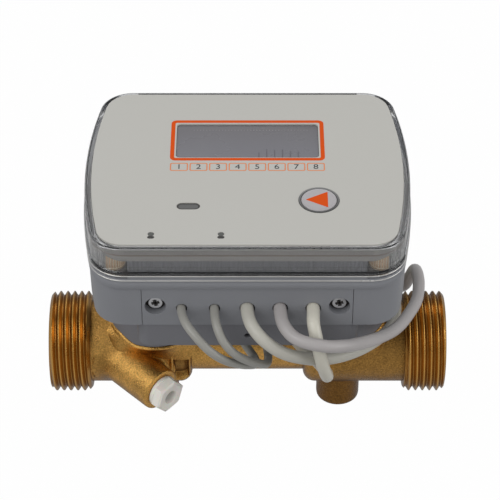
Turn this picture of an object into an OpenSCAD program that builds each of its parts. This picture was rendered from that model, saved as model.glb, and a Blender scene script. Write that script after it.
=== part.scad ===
// Compact ultrasonic heat meter for water: a cast flow body, a calculator above it and its leads.
// Millimetres. The pipe runs along X, the cable side faces -Y and Z = 0 is the surface it stands on.

/* [Flow body] */
// Length of the flow body between its threaded ends
body_length = 130; // [126:1:150]
// Height of the pipe axis above the surface the meter stands on
axis_height = 23; // [20:0.5:28]
// Outside diameter of the end threads
thread_d = 33.25; // [31:0.25:36]
// Length of each end thread
thread_length = 13.4; // [12:0.2:15]
// Diameter of the bore at each end
end_bore_d = 20; // [19.5:0.25:22]
// Depth of the bore at each end
end_bore_depth = 13; // [11:0.5:14]
// Outside diameter of the pipe behind each thread
pipe_d = 26.8; // [25:0.2:28]
// Bore of the pipe
pipe_bore_d = 18.8; // [17:0.2:19]
// Outside diameter of the measuring tube
tube_d = 18.8; // [17:0.2:21]
// Bore of the measuring tube
tube_bore_d = 12; // [9:0.5:13]
// Length of the measuring tube between the pipe shoulders
tube_length = 36.8; // [33:0.2:38]
// Rounding of the pipe shoulders
shoulder_r = 4; // [2:0.5:5]

/* [Transducer necks] */
// Distance between the two neck axes
neck_spacing = 61; // [59:0.5:64]
// Diameter of the neck above its shoulder
neck_d = 22; // [21:0.25:23]
// Height of the neck shoulder above the pipe axis
neck_rise = 34; // [31:0.5:38]
// Height of the neck above its shoulder
neck_spigot = 5.6; // [5.4:0.1:6]
// Diameter of a transducer below its flange
transducer_d = 11; // [10:0.25:11.5]
// Thickness of a transducer flange
flange_t = 3; // [2.5:0.1:3.4]
// Thickness of a transducer seal
seal_t = 1.2; // [1:0.1:1.4]
// Thickness of a clamp plate
clamp_t = 1.5; // [1:0.1:1.6]
// Diameter of a foot boss below the pipe
foot_d = 14.4; // [12:0.2:16]
// Diameter of a reflector post
reflector_d = 8; // [6:0.25:9]

/* [Sensor port] */
// Distance from the inlet face to where the port axis meets the pipe axis
port_inset = 14; // [13:0.5:17]
// Angle between the port and the pipe
port_angle = 45; // [42:1:50]
// Fall of the port below the level
port_drop = 2; // [0:0.5:4]
// Length of the port from the pipe axis
port_reach = 32.3; // [30:0.1:36]
// Outside diameter of the port
port_d = 14.4; // [13.6:0.2:15.5]
// Bore of the port
port_bore_d = 8; // [6.5:0.25:8.5]
// Width across the flats of the plug
plug_flats = 10.3; // [9.5:0.1:11.5]
// Length of the hexagon of the plug
plug_hex_length = 3.2; // [2:0.1:6]

/* [Bracket] */
// Width of the mounting bracket
bracket_w = 68; // [66:0.5:70]
// Depth of the mounting bracket
bracket_d = 80; // [76:0.5:80]
// Height of the mounting bracket
bracket_h = 8.8; // [8.4:0.1:12]
// Wall of the mounting bracket
bracket_wall = 2.2; // [1.6:0.1:2.6]

/* [Calculator] */
// Width of the calculator
case_w = 102.2; // [100:0.2:110]
// Depth of the calculator
case_d = 82.4; // [82:0.2:88]
// Radius of the bowed sides
case_bow_r = 170; // [150:5:300]
// Radius of the corners
case_corner_r = 11; // [9.5:0.5:13]
// How far the base stands in from the cover
base_inset = 0.8; // [0.6:0.1:1]
// Height of the base
base_h = 18.9; // [18.2:0.1:22]
// Wall of the base and the cover
case_wall = 2.3; // [1.8:0.1:2.6]
// Thickness of the base floor
floor_t = 2.5; // [2:0.1:3]
// Thickness of the gasket between base and cover
gasket_t = 0.8; // [0.5:0.1:1.2]
// Height of the clear cover
cover_h = 10.1; // [9.8:0.1:13]
// Thickness of the cover's roof
cover_roof = 2.2; // [1.6:0.1:2.4]
// Thickness of the face plate
plate_t = 1; // [0.8:0.1:1.4]
// Border of the clear cover round the face plate
plate_border = 2.5; // [2.2:0.1:4]

/* [Cable panel] */
// Width of the cable panel
panel_w = 64.4; // [63.6:0.2:67]
// Height of the cable panel
panel_h = 14.7; // [14.2:0.1:15]
// Thickness of the cable panel
panel_t = 2.4; // [2:0.1:2.8]
// Distance between neighbouring cable holes
cable_pitch = 10; // [9.4:0.1:10.4]
// Height of the cable holes above the underside of the base
cable_height = 6.7; // [6.4:0.1:7.2]
// Height of the panel screws above the cable holes
panel_screw_rise = 0.8; // [0.3:0.1:1.2]
// Diameter of the two transducer leads
lead_d = 2.7; // [2.4:0.1:2.8]
// Diameter of the sensor and bus leads
cable_d = 4; // [3.6:0.1:4.2]

/* [Display and key] */
// Width of the display window
window_w = 45; // [40:0.5:47]
// Depth of the display window
window_d = 17.9; // [15:0.1:19]
// Distance of the window's middle behind the middle of the calculator
window_y = 13.5; // [12:0.1:14.5]
// Diameter of the button cap
button_d = 10.9; // [9:0.1:11.6]
// Diameter of the button's hole
button_hole_d = 12.65; // [12.2:0.05:13.4]
// Travel of the button
button_travel = 0.6; // [0.3:0.1:0.8]
// Diameter of the lithium cell
cell_d = 14.5; // [13:0.1:14.6]
// Length of the lithium cell
cell_length = 50.5; // [42:0.5:54]

/* [Hidden] */
$fn = 48;

// Clearances: a close fit, a free fit and the overshoot of a cut
fit = 0.1;
slip = 0.3;
cut = 1;
ends = [-1, 1];

// Flow body
half_l = body_length / 2;
thread_r = thread_d / 2;
thread_chamfer = 0.9;
pipe_r = pipe_d / 2;
tube_r = tube_d / 2;
bore_end = tube_length / 2 + 2;
neck_x = neck_spacing / 2;
neck_r = neck_d / 2;
neck_shoulder_r = neck_r + 1.5;
neck_base_r = pipe_r - 0.2;
bracket_z = axis_height + neck_rise;
neck_top = bracket_z + neck_spigot;
foot_r = foot_d / 2;
foot_chamfer = 0.8;
transducer_r = transducer_d / 2;
seal_r = seal_t / 2;
seal_gap = 0.15;
socket_r = transducer_r + slip;
flange_r = transducer_r + seal_gap + seal_t + 0.1;
seat_r = flange_r + fit;
seat_z = neck_top - flange_t - seal_t;
clamp_screw_at = (seat_r + neck_r) / 2;
tongue_at = neck_r + 2.6;
tongue_w = 14;
lead_slot_w = lead_d + 0.5;
lead_slot_h = flange_t;
lead_slot_turn = 45;

// Screws: shank radius, head radius and head height
small_screw = [1, 2.1, 1.2];
case_screw = [1.3, 2.6, 1.9];
cover_screw = [1.5, 2.7, 2.2];
recess = [1.2, 0.36];
pilot = 0.1;
clamp_screw_length = clamp_t + 2.6;
bracket_screw_length = floor_t + 5.5;
panel_screw_grip = 4.5;
board_post_grip = 4;
bracket_boss_r = case_screw[0] + 2.1;

// Sensor port
port_x = -half_l + port_inset;
port_r = port_d / 2;
port_bore_r = port_bore_d / 2;
port_seat_depth = 1.5;
port_seal_r = 0.5;
collar_t = 1.5;
plug_shank = 9;
plug_dimple_r = 1.7;
collar_r = plug_flats / 2 + 0.25;

// Heights of the calculator's parts
case_z = bracket_z + bracket_h;
floor_z = case_z + floor_t;
base_top = case_z + base_h;
cover_z = base_top + gasket_t;
cover_top = cover_z + cover_h;
plate_z = cover_top - 0.6;
plate_top = plate_z + plate_t;
roof_z = plate_z - cover_roof;
cradle_t = 0.5;
cell_r = cell_d / 2;
cell_z = floor_z + cradle_t + cell_r;
board_z = cell_z + cell_r + 0.4;
board_t = 1.6;
board_top = board_z + board_t;
rim_z = case_z + panel_h;
rim_step = 0.5;
collar_top = roof_z - 0.5;
collar_depth = 4;
collar_wall = 1.5;
collar_gap = 0.2;
corner_clear_r = 5.9;
sill_half_w = 36;
gasket_inset = base_inset + 0.7;

// Plan of the calculator
base_front = -case_d / 2 + base_inset;
corner_y = case_d / 2 - case_corner_r;
bow_x = case_w / 2 - case_bow_r;
lean = asin(corner_y / (case_bow_r - case_corner_r));
last_step = (90 - lean) / 6;
corner_x = bow_x + (case_bow_r - case_corner_r) * cos(lean);
insert_at = [corner_x + 3.2, corner_y + 3.7];
insert_r = 2.5;
insert_h = 5.6;
boss_r = 4.3;
head_room = 10.5;
board_size = [78, 60];
board_post_at = [34, 24];
post_r = 3;
bracket_screw_at = [20, 26];
bracket_floor = 2.4;
bracket_corner = 4;
sleeve_r = neck_base_r + 1.6;
sleeve_z = axis_height + 10.5;
sleeve_gap = 0.25;

// Cable panel
panel_back = base_front + panel_t;
panel_gap = 0.15;
hole_z = case_z + cable_height;
lead_r = lead_d / 2;
cable_r = cable_d / 2;
cable_rs = [lead_r, lead_r, cable_r, cable_r, cable_r];
hole_play = 0.35;
seal_depth = 4;
seal_h = 9.4;
seal_half_w = 2 * cable_pitch + 3.4;
rail_t = 1.2;
rail_h = 1;
root = 0.5;
seal_back = panel_back + seal_depth;
panel_screw_x = 2 * cable_pitch + 8;
cup_r = 3.25;
cup_wall = 0.7;
cup_depth = 2.8;
cup_back = base_front + cup_depth + 1.6;
screw_z = hole_z + panel_screw_rise;
panel_boss_depth = 7;
vent_r = 0.9;

// Display, key and inner parts
window_corner = 1.2;
slot_at = [-18, -20];
slot_size = [7.2, 3.3];
lamp_at = [[-28.9, -33.5], [-7.9, -33.5]];
lamp_r = 0.9;
lamp_sunk = 0.1;
window_sunk = 0.5;
slot_sunk = 0.2;
button_at = [21.9, -17.1];
button_r = button_d / 2;
button_proud = 0.35;
button_rim = 0.5;
button_sink = 0.1;
ring_proud = 0.15;
ring_gap = 0.2;
button_flange_r = button_hole_d / 2 + 1.2;
button_flange_t = 1;
button_gap = 0.3;
stem_r = 1.7;
switch_w = 6;
switch_h = 3.4;
plunger_r = 1.6;
plunger_rise = 1.1;
plunger_top = board_top + switch_h + plunger_rise;
lcd_margin = [3.5, 3.4];
lcd_t = 2.2;
lcd_z = roof_z - 0.4 - lcd_t;
lcd_size = [window_w + 2 * lcd_margin[0], window_d + 2 * lcd_margin[1]];
frame_wall = 1.6;
strip_w = 2;
diode_r = 1.5;
diode_at = 2.2;
terminal_size = [46, 8, 8];
terminal_y = -24;
cell_y = 13.8;
cradle_margin = [2.4, 1.6];
cradle_h = 5;

// Leads and what is on them: each route is a list of points, from inside the cable seal outwards
inlet_lead_route = [
    [-20, -34.5, 72.5], [-20, -42, 72.5], [-18.6, -47, 72.3], [-15.3, -51.5, 70.5], [-11.5, -53.5, 67],
    [-7.5, -53, 63], [-3, -49, 57.5], [0.5, -43.5, 52], [2.5, -38, 47.5], [2, -32, 45], [-0.5, -28.5, 46.5],
    [-2.8, -27, 51], [-3, -27, 58.5]
];
outlet_lead_route = [
    [-10, -34.5, 72.5], [-10, -42, 72.5], [-9.4, -47, 71.9], [-7.5, -51, 69], [-4.5, -52, 65],
    [-0.3, -50, 60], [3.5, -45, 54], [6, -39.5, 49], [6.5, -33.5, 47], [5.8, -29.5, 49], [5, -28, 53],
    [5, -28, 58.5]
];
return_route = [
    [0, -34.5, 72.5], [0, -42, 72.5], [1.3, -47.5, 71.9], [4.3, -51, 69.8], [8.5, -52, 66.3],
    [18, -48, 58.8], [27, -41, 52.8], [36, -32, 48.5], [41.5, -25, 46.3], [46, -17, 44], [48, -8, 42.5],
    [48.2, 2, 41.3], [48, 11, 38.5], [47, 19, 33], [46, 25, 26.5], [46, 31, 21], [47.5, 37, 18.5],
    [50, 44, 17.5]
];
return_tail = [
    [13, 77, 29.4], [5, 69, 29.4], [3.5, 61, 29.6], [5.5, 54.5, 30.2], [10, 52, 30.6], [13, 52, 30.6]
];
supply_route = [
    [10, -34.5, 72.5], [10, -42, 72.5], [11, -48, 72.3], [14, -52.5, 71.5], [22.5, -55, 70.3],
    [29, -52, 67.5], [34, -47, 64], [40, -39, 59], [46, -29, 53.5], [51.5, -16, 48.5], [55, -6, 46.5],
    [56.2, 3, 45.5], [56.2, 11, 43.5], [56, 18, 38.8], [55.3, 24, 31], [54.3, 29.5, 22.5],
    [53.2, 37, 15.5], [53, 46, 11.7]
];
supply_tail = [[13, 84.6, 3.3], [4, 84.6, 3.1], [-2, 84.2, 3], [-6, 84.2, 3]];
bus_route = [
    [20, -34.5, 72.5], [20, -42, 72.5], [20, -47, 71.9], [20.8, -50, 69], [21.8, -51, 64],
    [23.3, -49.7, 56.5], [24.5, -45.8, 49.6], [24.9, -40, 44.5], [24.6, -33, 39.8], [22.8, -27, 37.6],
    [18.8, -20, 36.7], [15, -12.5, 35.6], [13, -4, 35], [12.8, 5, 34.7], [12.5, 13, 31], [11, 18, 24],
    [8, 23, 15.5], [3, 27.5, 8.5], [-4, 30.5, 5], [-12, 31.2, 4], [-20, 31.3, 3.5]
];
bus_tail = [[-47, 65, 15.7], [-40, 72, 15.7], [-29, 75, 15.7], [-19, 72.5, 15.7]];

// Coils: centre, middle radius, width and height of the section, underside and the angle of its ties
tie_t = 0.9;
tie_w = 3;
tie_gap = 0.15;
coil_h = 12.6;
coil_low = tie_t + tie_gap;
coil_high = coil_low + coil_h + tie_t + tie_gap + 0.1;
supply_coil = [[26, 58], 23, 12.6, coil_h, coil_low, 45];
return_coil = [[26, 58], 23, 12.6, coil_h, coil_high, 90];
bus_coil = [[-29, 54], 21, 8.6, coil_h, coil_low, 20];
coil_round = 3;
probe_r = 2.6;
probe_collar_r = 3;
probe_length = 38;
crimp_length = 9;
ferrule_r = 0.8;
ferrule_length = 8;

// Outlines

// Points of an arc from angle a0 to a1 in n steps, leaving out the first skip points
function arc(c, r, a0, a1, n, skip = 0) =
    [for (i = [skip:n]) c + r * [cos(a0 + (a1 - a0) * i / n), sin(a0 + (a1 - a0) * i / n)]];

// Plan of the calculator: bowed sides, round corners, straight front and back, moved in by inset
function case_points(inset) =
    let (bow = case_bow_r - inset, corner = case_corner_r - inset)
    concat(
        arc([bow_x, 0], bow, -lean, lean, 8),
        arc([corner_x, corner_y], corner, lean, 90, 6, 1),
        arc([-corner_x, corner_y], corner, 90, 180 - lean, 6),
        arc([-bow_x, 0], bow, 180 - lean, 180 + lean, 8, 1),
        arc([-corner_x, -corner_y], corner, 180 + lean, 270, 6, 1),
        arc([corner_x, -corner_y], corner, 270, 360 - lean - last_step, 5)
    );

// Rectangle with round corners, in the middle of the plane
function round_rect(w, d, r) =
    let (x = w / 2 - r, y = d / 2 - r)
    concat(
        arc([x, y], r, 0, 90, 5),
        arc([-x, y], r, 90, 180, 5),
        arc([-x, -y], r, 180, 270, 5),
        arc([x, -y], r, 270, 360, 5)
    );

module case_solid(inset, z, h) {
    translate([0, 0, z])
        linear_extrude(h)
            polygon(case_points(inset));
}

module block(x, y, z) {
    translate([x[0], y[0], z[0]])
        cube([x[1] - x[0], y[1] - y[0], z[1] - z[0]]);
}

module rod(at, r, z0, z1) {
    translate([at[0], at[1], z0])
        cylinder(h = z1 - z0, r = r);
}

module at_corners(at) {
    for (sx = ends, sy = ends)
        translate([sx * at[0], sy * at[1], 0])
            children();
}

// A rod whose axis runs back along +Y from a face at y0 to y1
module rod_back(x, z, r, y0, y1) {
    translate([x, y0, z])
        rotate([-90, 0, 0])
            cylinder(h = y1 - y0, r = r);
}

// A screw that points down from the underside of its head, which is at the origin
module screw(size, length) {
    translate([0, 0, -length])
        cylinder(h = length, r = size[0]);
    difference() {
        cylinder(h = size[2], r = size[1]);
        for (turn = [0, 90])
            translate([0, 0, size[2] * 0.75])
                rotate([0, 0, turn])
                    cube([size[1] * recess[0], size[1] * recess[1], size[2]], center = true);
    }
}

// Flow body

// Half of the body's outline, as radius and distance along the pipe
function body_half_profile() =
    let (start = half_l - thread_length, s = tube_length / 2)
    concat(
        [[0, 0], [tube_r, 0], [tube_r, s]],
        arc([pipe_r - shoulder_r, s + shoulder_r], shoulder_r, -90, 0, 6),
        [[pipe_r, start], [thread_r - thread_chamfer, start], [thread_r, start + thread_chamfer]],
        [[thread_r, half_l - thread_chamfer], [thread_r - thread_chamfer, half_l], [0, half_l]]
    );

module along_pipe(end) {
    translate([0, 0, axis_height])
        rotate([0, 90 * end, 0])
            children();
}

module at_neck(end) {
    translate([end * neck_x, 0, 0])
        children();
}

module at_port() {
    translate([port_x, 0, axis_height])
        rotate([0, 0, -port_angle])
            rotate([0, 90 + port_drop, 0])
                children();
}

// The way of a transducer lead out of its neck, towards the front and the middle
module lead_slot(end) {
    at_neck(end)
        rotate([0, 0, end > 0 ? 180 + lead_slot_turn : -lead_slot_turn])
            translate([0, -lead_slot_w / 2, neck_top - lead_slot_h])
                cube([neck_r + bracket_wall + 2 * slip, lead_slot_w, lead_slot_h + cut]);
}

module neck_and_foot() {
    rotate_extrude()
        polygon([
            [0, axis_height], [neck_base_r, axis_height], [neck_shoulder_r, bracket_z],
            [neck_r, bracket_z], [neck_r, neck_top], [0, neck_top]
        ]);
    rotate_extrude()
        polygon([
            [0, 0], [foot_r - foot_chamfer, 0], [foot_r, foot_chamfer], [foot_r, axis_height],
            [0, axis_height]
        ]);
}

module port_outside() {
    cylinder(h = port_reach, r = port_r);
    cylinder(h = port_reach * 0.66, r1 = port_r + 2.6, r2 = port_r);
}

module flow_body() {
    color([0.66, 0.47, 0.2])
        difference() {
            union() {
                for (end = ends) {
                    along_pipe(end)
                        rotate_extrude($fn = 96)
                            polygon(body_half_profile());
                    at_neck(end)
                        neck_and_foot();
                }
                at_port()
                    port_outside();
            }
            for (end = ends) {
                along_pipe(end) {
                    translate([0, 0, half_l - end_bore_depth])
                        cylinder(h = end_bore_depth + cut, d = end_bore_d);
                    translate([0, 0, bore_end])
                        cylinder(h = half_l - bore_end, d = pipe_bore_d);
                    translate([0, 0, -cut])
                        cylinder(h = bore_end + 2 * cut, d = tube_bore_d);
                }
                at_neck(end) {
                    rod([0, 0], socket_r, axis_height, neck_top + cut);
                    rod([0, 0], seat_r, seat_z, neck_top + cut);
                    rod([0, 0], reflector_d / 2, -cut, axis_height);
                    for (side = ends)
                        rod([0, side * clamp_screw_at], small_screw[0] + pilot, seat_z - 2, neck_top + cut);
                }
                lead_slot(end);
            }
            at_port() {
                cylinder(h = port_reach + cut, r = port_bore_r);
                translate([0, 0, port_reach - port_seat_depth])
                    cylinder(h = port_seat_depth + cut, r = port_bore_r + 2 * port_seal_r + fit);
            }
        }
}

// Post in a foot boss, with a face that turns the sound by a right angle along the pipe
module reflector(end) {
    color([0.75, 0.76, 0.78])
        at_neck(end)
            difference() {
                rod([0, 0], reflector_d / 2 - fit, 0.5, axis_height + reflector_d / 2);
                translate([0, 0, axis_height])
                    rotate([0, -45 * end, 0])
                        translate([0, 0, reflector_d])
                            cube([4 * reflector_d, 2 * reflector_d, 2 * reflector_d], center = true);
            }
}

module inlet_reflector() { reflector(-1); }

module outlet_reflector() { reflector(1); }

module transducer(end) {
    face_z = axis_height + pipe_bore_d / 2 + 0.8;
    color([0.3, 0.3, 0.32])
        at_neck(end)
            rotate_extrude()
                polygon([
                    [0, face_z], [transducer_r - 0.8, face_z], [transducer_r, face_z + 0.8],
                    [transducer_r, neck_top - flange_t], [flange_r, neck_top - flange_t],
                    [flange_r, neck_top], [0, neck_top]
                ]);
}

module inlet_transducer() { transducer(-1); }

module outlet_transducer() { transducer(1); }

module transducer_seals() {
    color([0.1, 0.1, 0.1])
        for (end = ends)
            at_neck(end)
                translate([0, 0, seat_z + seal_r])
                    rotate_extrude()
                        translate([transducer_r + seal_gap + seal_r, 0])
                            circle(seal_r, $fn = 24);
}

// Plate that holds a transducer in its neck and the bracket down on the neck's shoulder
module clamp_plate(end) {
    color([0.78, 0.79, 0.8])
        at_neck(end)
            difference() {
                translate([0, 0, neck_top])
                    linear_extrude(clamp_t)
                        union() {
                            circle(neck_r - 0.2);
                            translate([-end * (tongue_at + 2) / 2, 0])
                                square([tongue_at + 2, tongue_w], center = true);
                        }
                for (at = clamp_screw_places(end))
                    rod(at, small_screw[0] + slip / 2, neck_top - cut, neck_top + clamp_t + cut);
            }
}

function clamp_screw_places(end) =
    [[0, clamp_screw_at], [0, -clamp_screw_at], [-end * tongue_at, 0]];

module inlet_clamp_plate() { clamp_plate(-1); }

module outlet_clamp_plate() { clamp_plate(1); }

module clamp_screws() {
    color([0.7, 0.7, 0.72])
        for (end = ends)
            at_neck(end)
                for (at = clamp_screw_places(end))
                    translate([at[0], at[1], neck_top + clamp_t])
                        screw(small_screw, clamp_screw_length);
}

module port_plug() {
    color([0.92, 0.91, 0.88])
        at_port()
            difference() {
                union() {
                    translate([0, 0, port_reach - plug_shank])
                        cylinder(h = plug_shank, r = port_bore_r - fit);
                    translate([0, 0, port_reach])
                        cylinder(h = collar_t, r = collar_r);
                    translate([0, 0, port_reach + collar_t])
                        rotate([0, 0, 20])
                            cylinder(h = plug_hex_length, d = plug_flats / cos(30), $fn = 6);
                }
                translate([0, 0, port_reach + collar_t + plug_hex_length - 0.7])
                    cylinder(h = cut, r1 = plug_dimple_r - 0.4, r2 = plug_dimple_r + 0.2);
            }
}

module port_plug_seal() {
    color([0.12, 0.12, 0.12])
        at_port()
            translate([0, 0, port_reach - port_seal_r - fit])
                rotate_extrude()
                    translate([port_bore_r + port_seal_r, 0])
                        circle(port_seal_r - fit / 2, $fn = 24);
}

// Sleeves round the necks, from the bracket down to the pipe and cut to its shape
module neck_sleeves() {
    color([0.42, 0.42, 0.44])
        for (end = ends)
            difference() {
                at_neck(end)
                    rod([0, 0], sleeve_r, sleeve_z, bracket_z);
                at_neck(end)
                    rod([0, 0], neck_base_r + sleeve_gap, sleeve_z - cut, bracket_z + cut);
                along_pipe(end)
                    cylinder(h = half_l, r = pipe_r + sleeve_gap);
            }
}

// Bracket between the necks, open at the top, under the floor of the base
module mounting_bracket() {
    color([0.4, 0.4, 0.42])
        difference() {
            union() {
                difference() {
                    translate([0, 0, bracket_z])
                        linear_extrude(bracket_h)
                            polygon(round_rect(bracket_w, bracket_d, bracket_corner));
                    translate([0, 0, bracket_z + bracket_floor])
                        linear_extrude(bracket_h)
                            polygon(round_rect(
                                bracket_w - 2 * bracket_wall, bracket_d - 2 * bracket_wall,
                                bracket_corner - bracket_wall
                            ));
                }
                intersection() {
                    translate([0, 0, bracket_z])
                        linear_extrude(bracket_h)
                            square([bracket_w - bracket_wall, bracket_d - bracket_wall], center = true);
                    for (end = ends)
                        at_neck(end) {
                            rod([0, 0], neck_r + slip + bracket_wall, bracket_z, neck_top);
                            translate([-end * (tongue_at + 4) / 2, 0, (bracket_z + neck_top) / 2])
                                cube([tongue_at + 4, tongue_w, neck_spigot], center = true);
                        }
                }
                at_corners(bracket_screw_at)
                    rod([0, 0], bracket_boss_r, bracket_z, case_z);
            }
            for (end = ends) {
                at_neck(end) {
                    rod([0, 0], neck_r + slip, bracket_z - cut, case_z + cut);
                    rod([-end * tongue_at, 0], small_screw[0] + pilot, bracket_z + 1, neck_top + cut);
                }
                lead_slot(end);
            }
            at_corners(bracket_screw_at)
                rod([0, 0], case_screw[0] + pilot, bracket_z + 1.5, case_z + cut);
            for (route = [inlet_lead_route, outlet_lead_route])
                rod(route[len(route) - 1], lead_r + slip, bracket_z - cut, bracket_z + bracket_floor + cut);
            rod_back(0, bracket_z + bracket_floor + vent_r + 0.6, vent_r, -bracket_d / 2 - cut,
                     -bracket_d / 2 + bracket_wall + cut);
        }
}

module bracket_screws() {
    color([0.7, 0.7, 0.72])
        at_corners(bracket_screw_at)
            translate([0, 0, floor_z])
                screw(case_screw, bracket_screw_length);
}

// Calculator

module base_shell() {
    difference() {
        union() {
            case_solid(base_inset, case_z, base_h);
            case_solid(base_inset - rim_step, rim_z, base_top - rim_z);
        }
        case_solid(base_inset + case_wall, floor_z, base_h);
        block(
            [-panel_w / 2, panel_w / 2], [base_front - cut, panel_back + panel_gap], [case_z - cut, rim_z]
        );
    }
}

// Wall that rises from inside the base behind the clear cover, open at the corners
module base_collar() {
    inner = base_inset + case_wall;
    difference() {
        union() {
            case_solid(inner - fit, base_top - collar_depth, collar_depth - fit);
            case_solid(inner + collar_gap, base_top - collar_depth, collar_top - base_top + collar_depth);
        }
        case_solid(inner + collar_gap + collar_wall, base_top - collar_depth - cut, cover_h + collar_depth);
        at_corners(insert_at)
            rod([0, 0], corner_clear_r, base_top - collar_depth - cut, cover_top);
    }
}

// Sills along the front and the back that close the gap under the cover between its corners
module base_sills() {
    intersection() {
        difference() {
            case_solid(base_inset - rim_step, base_top - root, root + gasket_t - fit);
            case_solid(gasket_inset - fit, base_top - cut, gasket_t + 2 * cut);
        }
        block([-sill_half_w, sill_half_w], [-case_d, case_d], [case_z, cover_top]);
    }
}

module base_case() {
    color([0.47, 0.48, 0.5])
        difference() {
            union() {
                base_shell();
                base_collar();
                base_sills();
                at_corners(insert_at)
                    rod([0, 0], boss_r, case_z, base_top);
                at_corners(board_post_at)
                    rod([0, 0], post_r, floor_z - root, board_z);
                for (side = ends) {
                    block(
                        [side * panel_screw_x - post_r, side * panel_screw_x + post_r],
                        [cup_back + panel_gap, cup_back + panel_boss_depth],
                        [floor_z - root, screw_z + post_r]
                    );
                    block(
                        [side * (seal_half_w + slip) - (side < 0 ? rail_t : 0),
                         side * (seal_half_w + slip) + (side > 0 ? rail_t : 0)],
                        [panel_back + panel_gap, seal_back + rail_t],
                        [floor_z - root, floor_z + rail_h]
                    );
                }
                block(
                    [-seal_half_w - slip, seal_half_w + slip],
                    [seal_back + panel_gap, seal_back + rail_t],
                    [floor_z - root, floor_z + rail_h]
                );
            }
            at_corners(insert_at) {
                rod([0, 0], cover_screw[1] + slip, case_z - cut, case_z + head_room);
                rod([0, 0], cover_screw[0] + slip, case_z, base_top + cut);
            }
            at_corners(board_post_at)
                rod([0, 0], small_screw[0] + pilot, board_z - 6, board_z + cut);
            at_corners(bracket_screw_at)
                rod([0, 0], case_screw[0] + slip, case_z - cut, floor_z + cut);
            for (side = ends)
                rod_back(side * panel_screw_x, screw_z, small_screw[0] + pilot, cup_back, cup_back + 6);
        }
}

// Flat piece let into the front of the base, with cable holes and two sunk screws
module cable_panel() {
    color([0.45, 0.46, 0.48])
        difference() {
            union() {
                block(
                    [-panel_w / 2 + panel_gap, panel_w / 2 - panel_gap],
                    [base_front, panel_back],
                    [case_z, rim_z - panel_gap]
                );
                for (side = ends)
                    rod_back(side * panel_screw_x, screw_z, cup_r + cup_wall, panel_back - root, cup_back);
            }
            for (i = [0:4])
                rod_back(
                    (i - 2) * cable_pitch, hole_z, cable_rs[i] + hole_play, base_front - cut, panel_back + cut
                );
            for (side = ends) {
                rod_back(side * panel_screw_x, screw_z, cup_r, base_front - cut, base_front + cup_depth);
                rod_back(
                    side * panel_screw_x, screw_z, small_screw[0] + slip / 2, base_front, cup_back + cut
                );
            }
        }
}

module panel_screws() {
    color([0.75, 0.76, 0.78])
        for (side = ends)
            translate([side * panel_screw_x, base_front + cup_depth, screw_z])
                rotate([90, 0, 0])
                    screw(small_screw, cup_back - base_front - cup_depth + panel_screw_grip);
}

module cable_seal() {
    color([0.13, 0.13, 0.14])
        difference() {
            block(
                [-seal_half_w, seal_half_w], [panel_back + fit, seal_back], [floor_z, floor_z + seal_h]
            );
            for (i = [0:4])
                rod_back(
                    (i - 2) * cable_pitch, hole_z, cable_rs[i] + fit, panel_back - cut, seal_back + cut
                );
        }
}

module cover_gasket() {
    color([0.15, 0.15, 0.16])
        difference() {
            case_solid(gasket_inset, base_top, gasket_t);
            case_solid(base_inset + case_wall - 0.1, base_top - cut, gasket_t + 2 * cut);
        }
}

// Clear shell with a rolled top edge, a shallow seat for the face plate and four corner bosses
module clear_cover() {
    roll = plate_border * 0.7;
    color([0.8, 0.82, 0.84, 0.4])
        difference() {
            hull() {
                case_solid(0, cover_z, cover_h - 1.6);
                case_solid(roll * 0.3, cover_top - 0.7, 0.1);
                case_solid(roll, cover_top - 0.1, 0.1);
            }
            difference() {
                case_solid(case_wall, cover_z - cut, roof_z - cover_z + cut);
                at_corners(insert_at)
                    rod([0, 0], boss_r, cover_z, roof_z + cut);
            }
            case_solid(plate_border, plate_z, cover_h);
            at_corners(insert_at)
                rod([0, 0], insert_r + fit, cover_z - cut, cover_z + insert_h + fit);
            rod(button_at, button_r + slip, roof_z - cut, plate_z + cut);
        }
}

module cover_inserts() {
    color([0.72, 0.56, 0.3])
        at_corners(insert_at)
            difference() {
                rod([0, 0], insert_r, cover_z, cover_z + insert_h);
                rod([0, 0], cover_screw[0] + fit, cover_z - cut, cover_z + insert_h + cut);
            }
}

module cover_screws() {
    color([0.7, 0.7, 0.72])
        at_corners(insert_at)
            translate([0, 0, case_z + head_room])
                rotate([180, 0, 0])
                    screw(cover_screw, cover_z + insert_h - case_z - head_room - 0.6);
}

module slot_outline(grow) {
    reach = slot_size[0] / 2 - slot_size[1] / 2;
    for (side = ends)
        translate([slot_at[0] + side * reach, slot_at[1]])
            circle(slot_size[1] / 2 + grow);
    translate(slot_at)
        square([2 * reach, slot_size[1] + 2 * grow], center = true);
}

module window_outline(grow) {
    translate([0, window_y])
        polygon(round_rect(window_w + 2 * grow, window_d + 2 * grow, window_corner + grow));
}

module face_plate() {
    color([0.8, 0.79, 0.76])
        difference() {
            case_solid(plate_border + fit, plate_z, plate_t);
            translate([0, 0, plate_z - cut])
                linear_extrude(plate_t + 2 * cut) {
                    window_outline(0);
                    slot_outline(0);
                    translate(button_at)
                        circle(d = button_hole_d);
                }
            for (at = lamp_at)
                rod(at, lamp_r + fit, plate_z - cut, plate_top + cut);
        }
}

module display_window() {
    color([0.6, 0.6, 0.65, 0.5])
        translate([0, 0, plate_z])
            linear_extrude(plate_t - window_sunk)
                window_outline(-fit);
}

module optical_window() {
    color([0.25, 0.25, 0.26])
        translate([0, 0, plate_z])
            linear_extrude(plate_t - slot_sunk)
                slot_outline(-fit);
}

module lcd_panel() {
    color([0.5, 0.5, 0.54])
        translate([-lcd_size[0] / 2, window_y - lcd_size[1] / 2, lcd_z])
            cube([lcd_size[0], lcd_size[1], lcd_t]);
}

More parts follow.
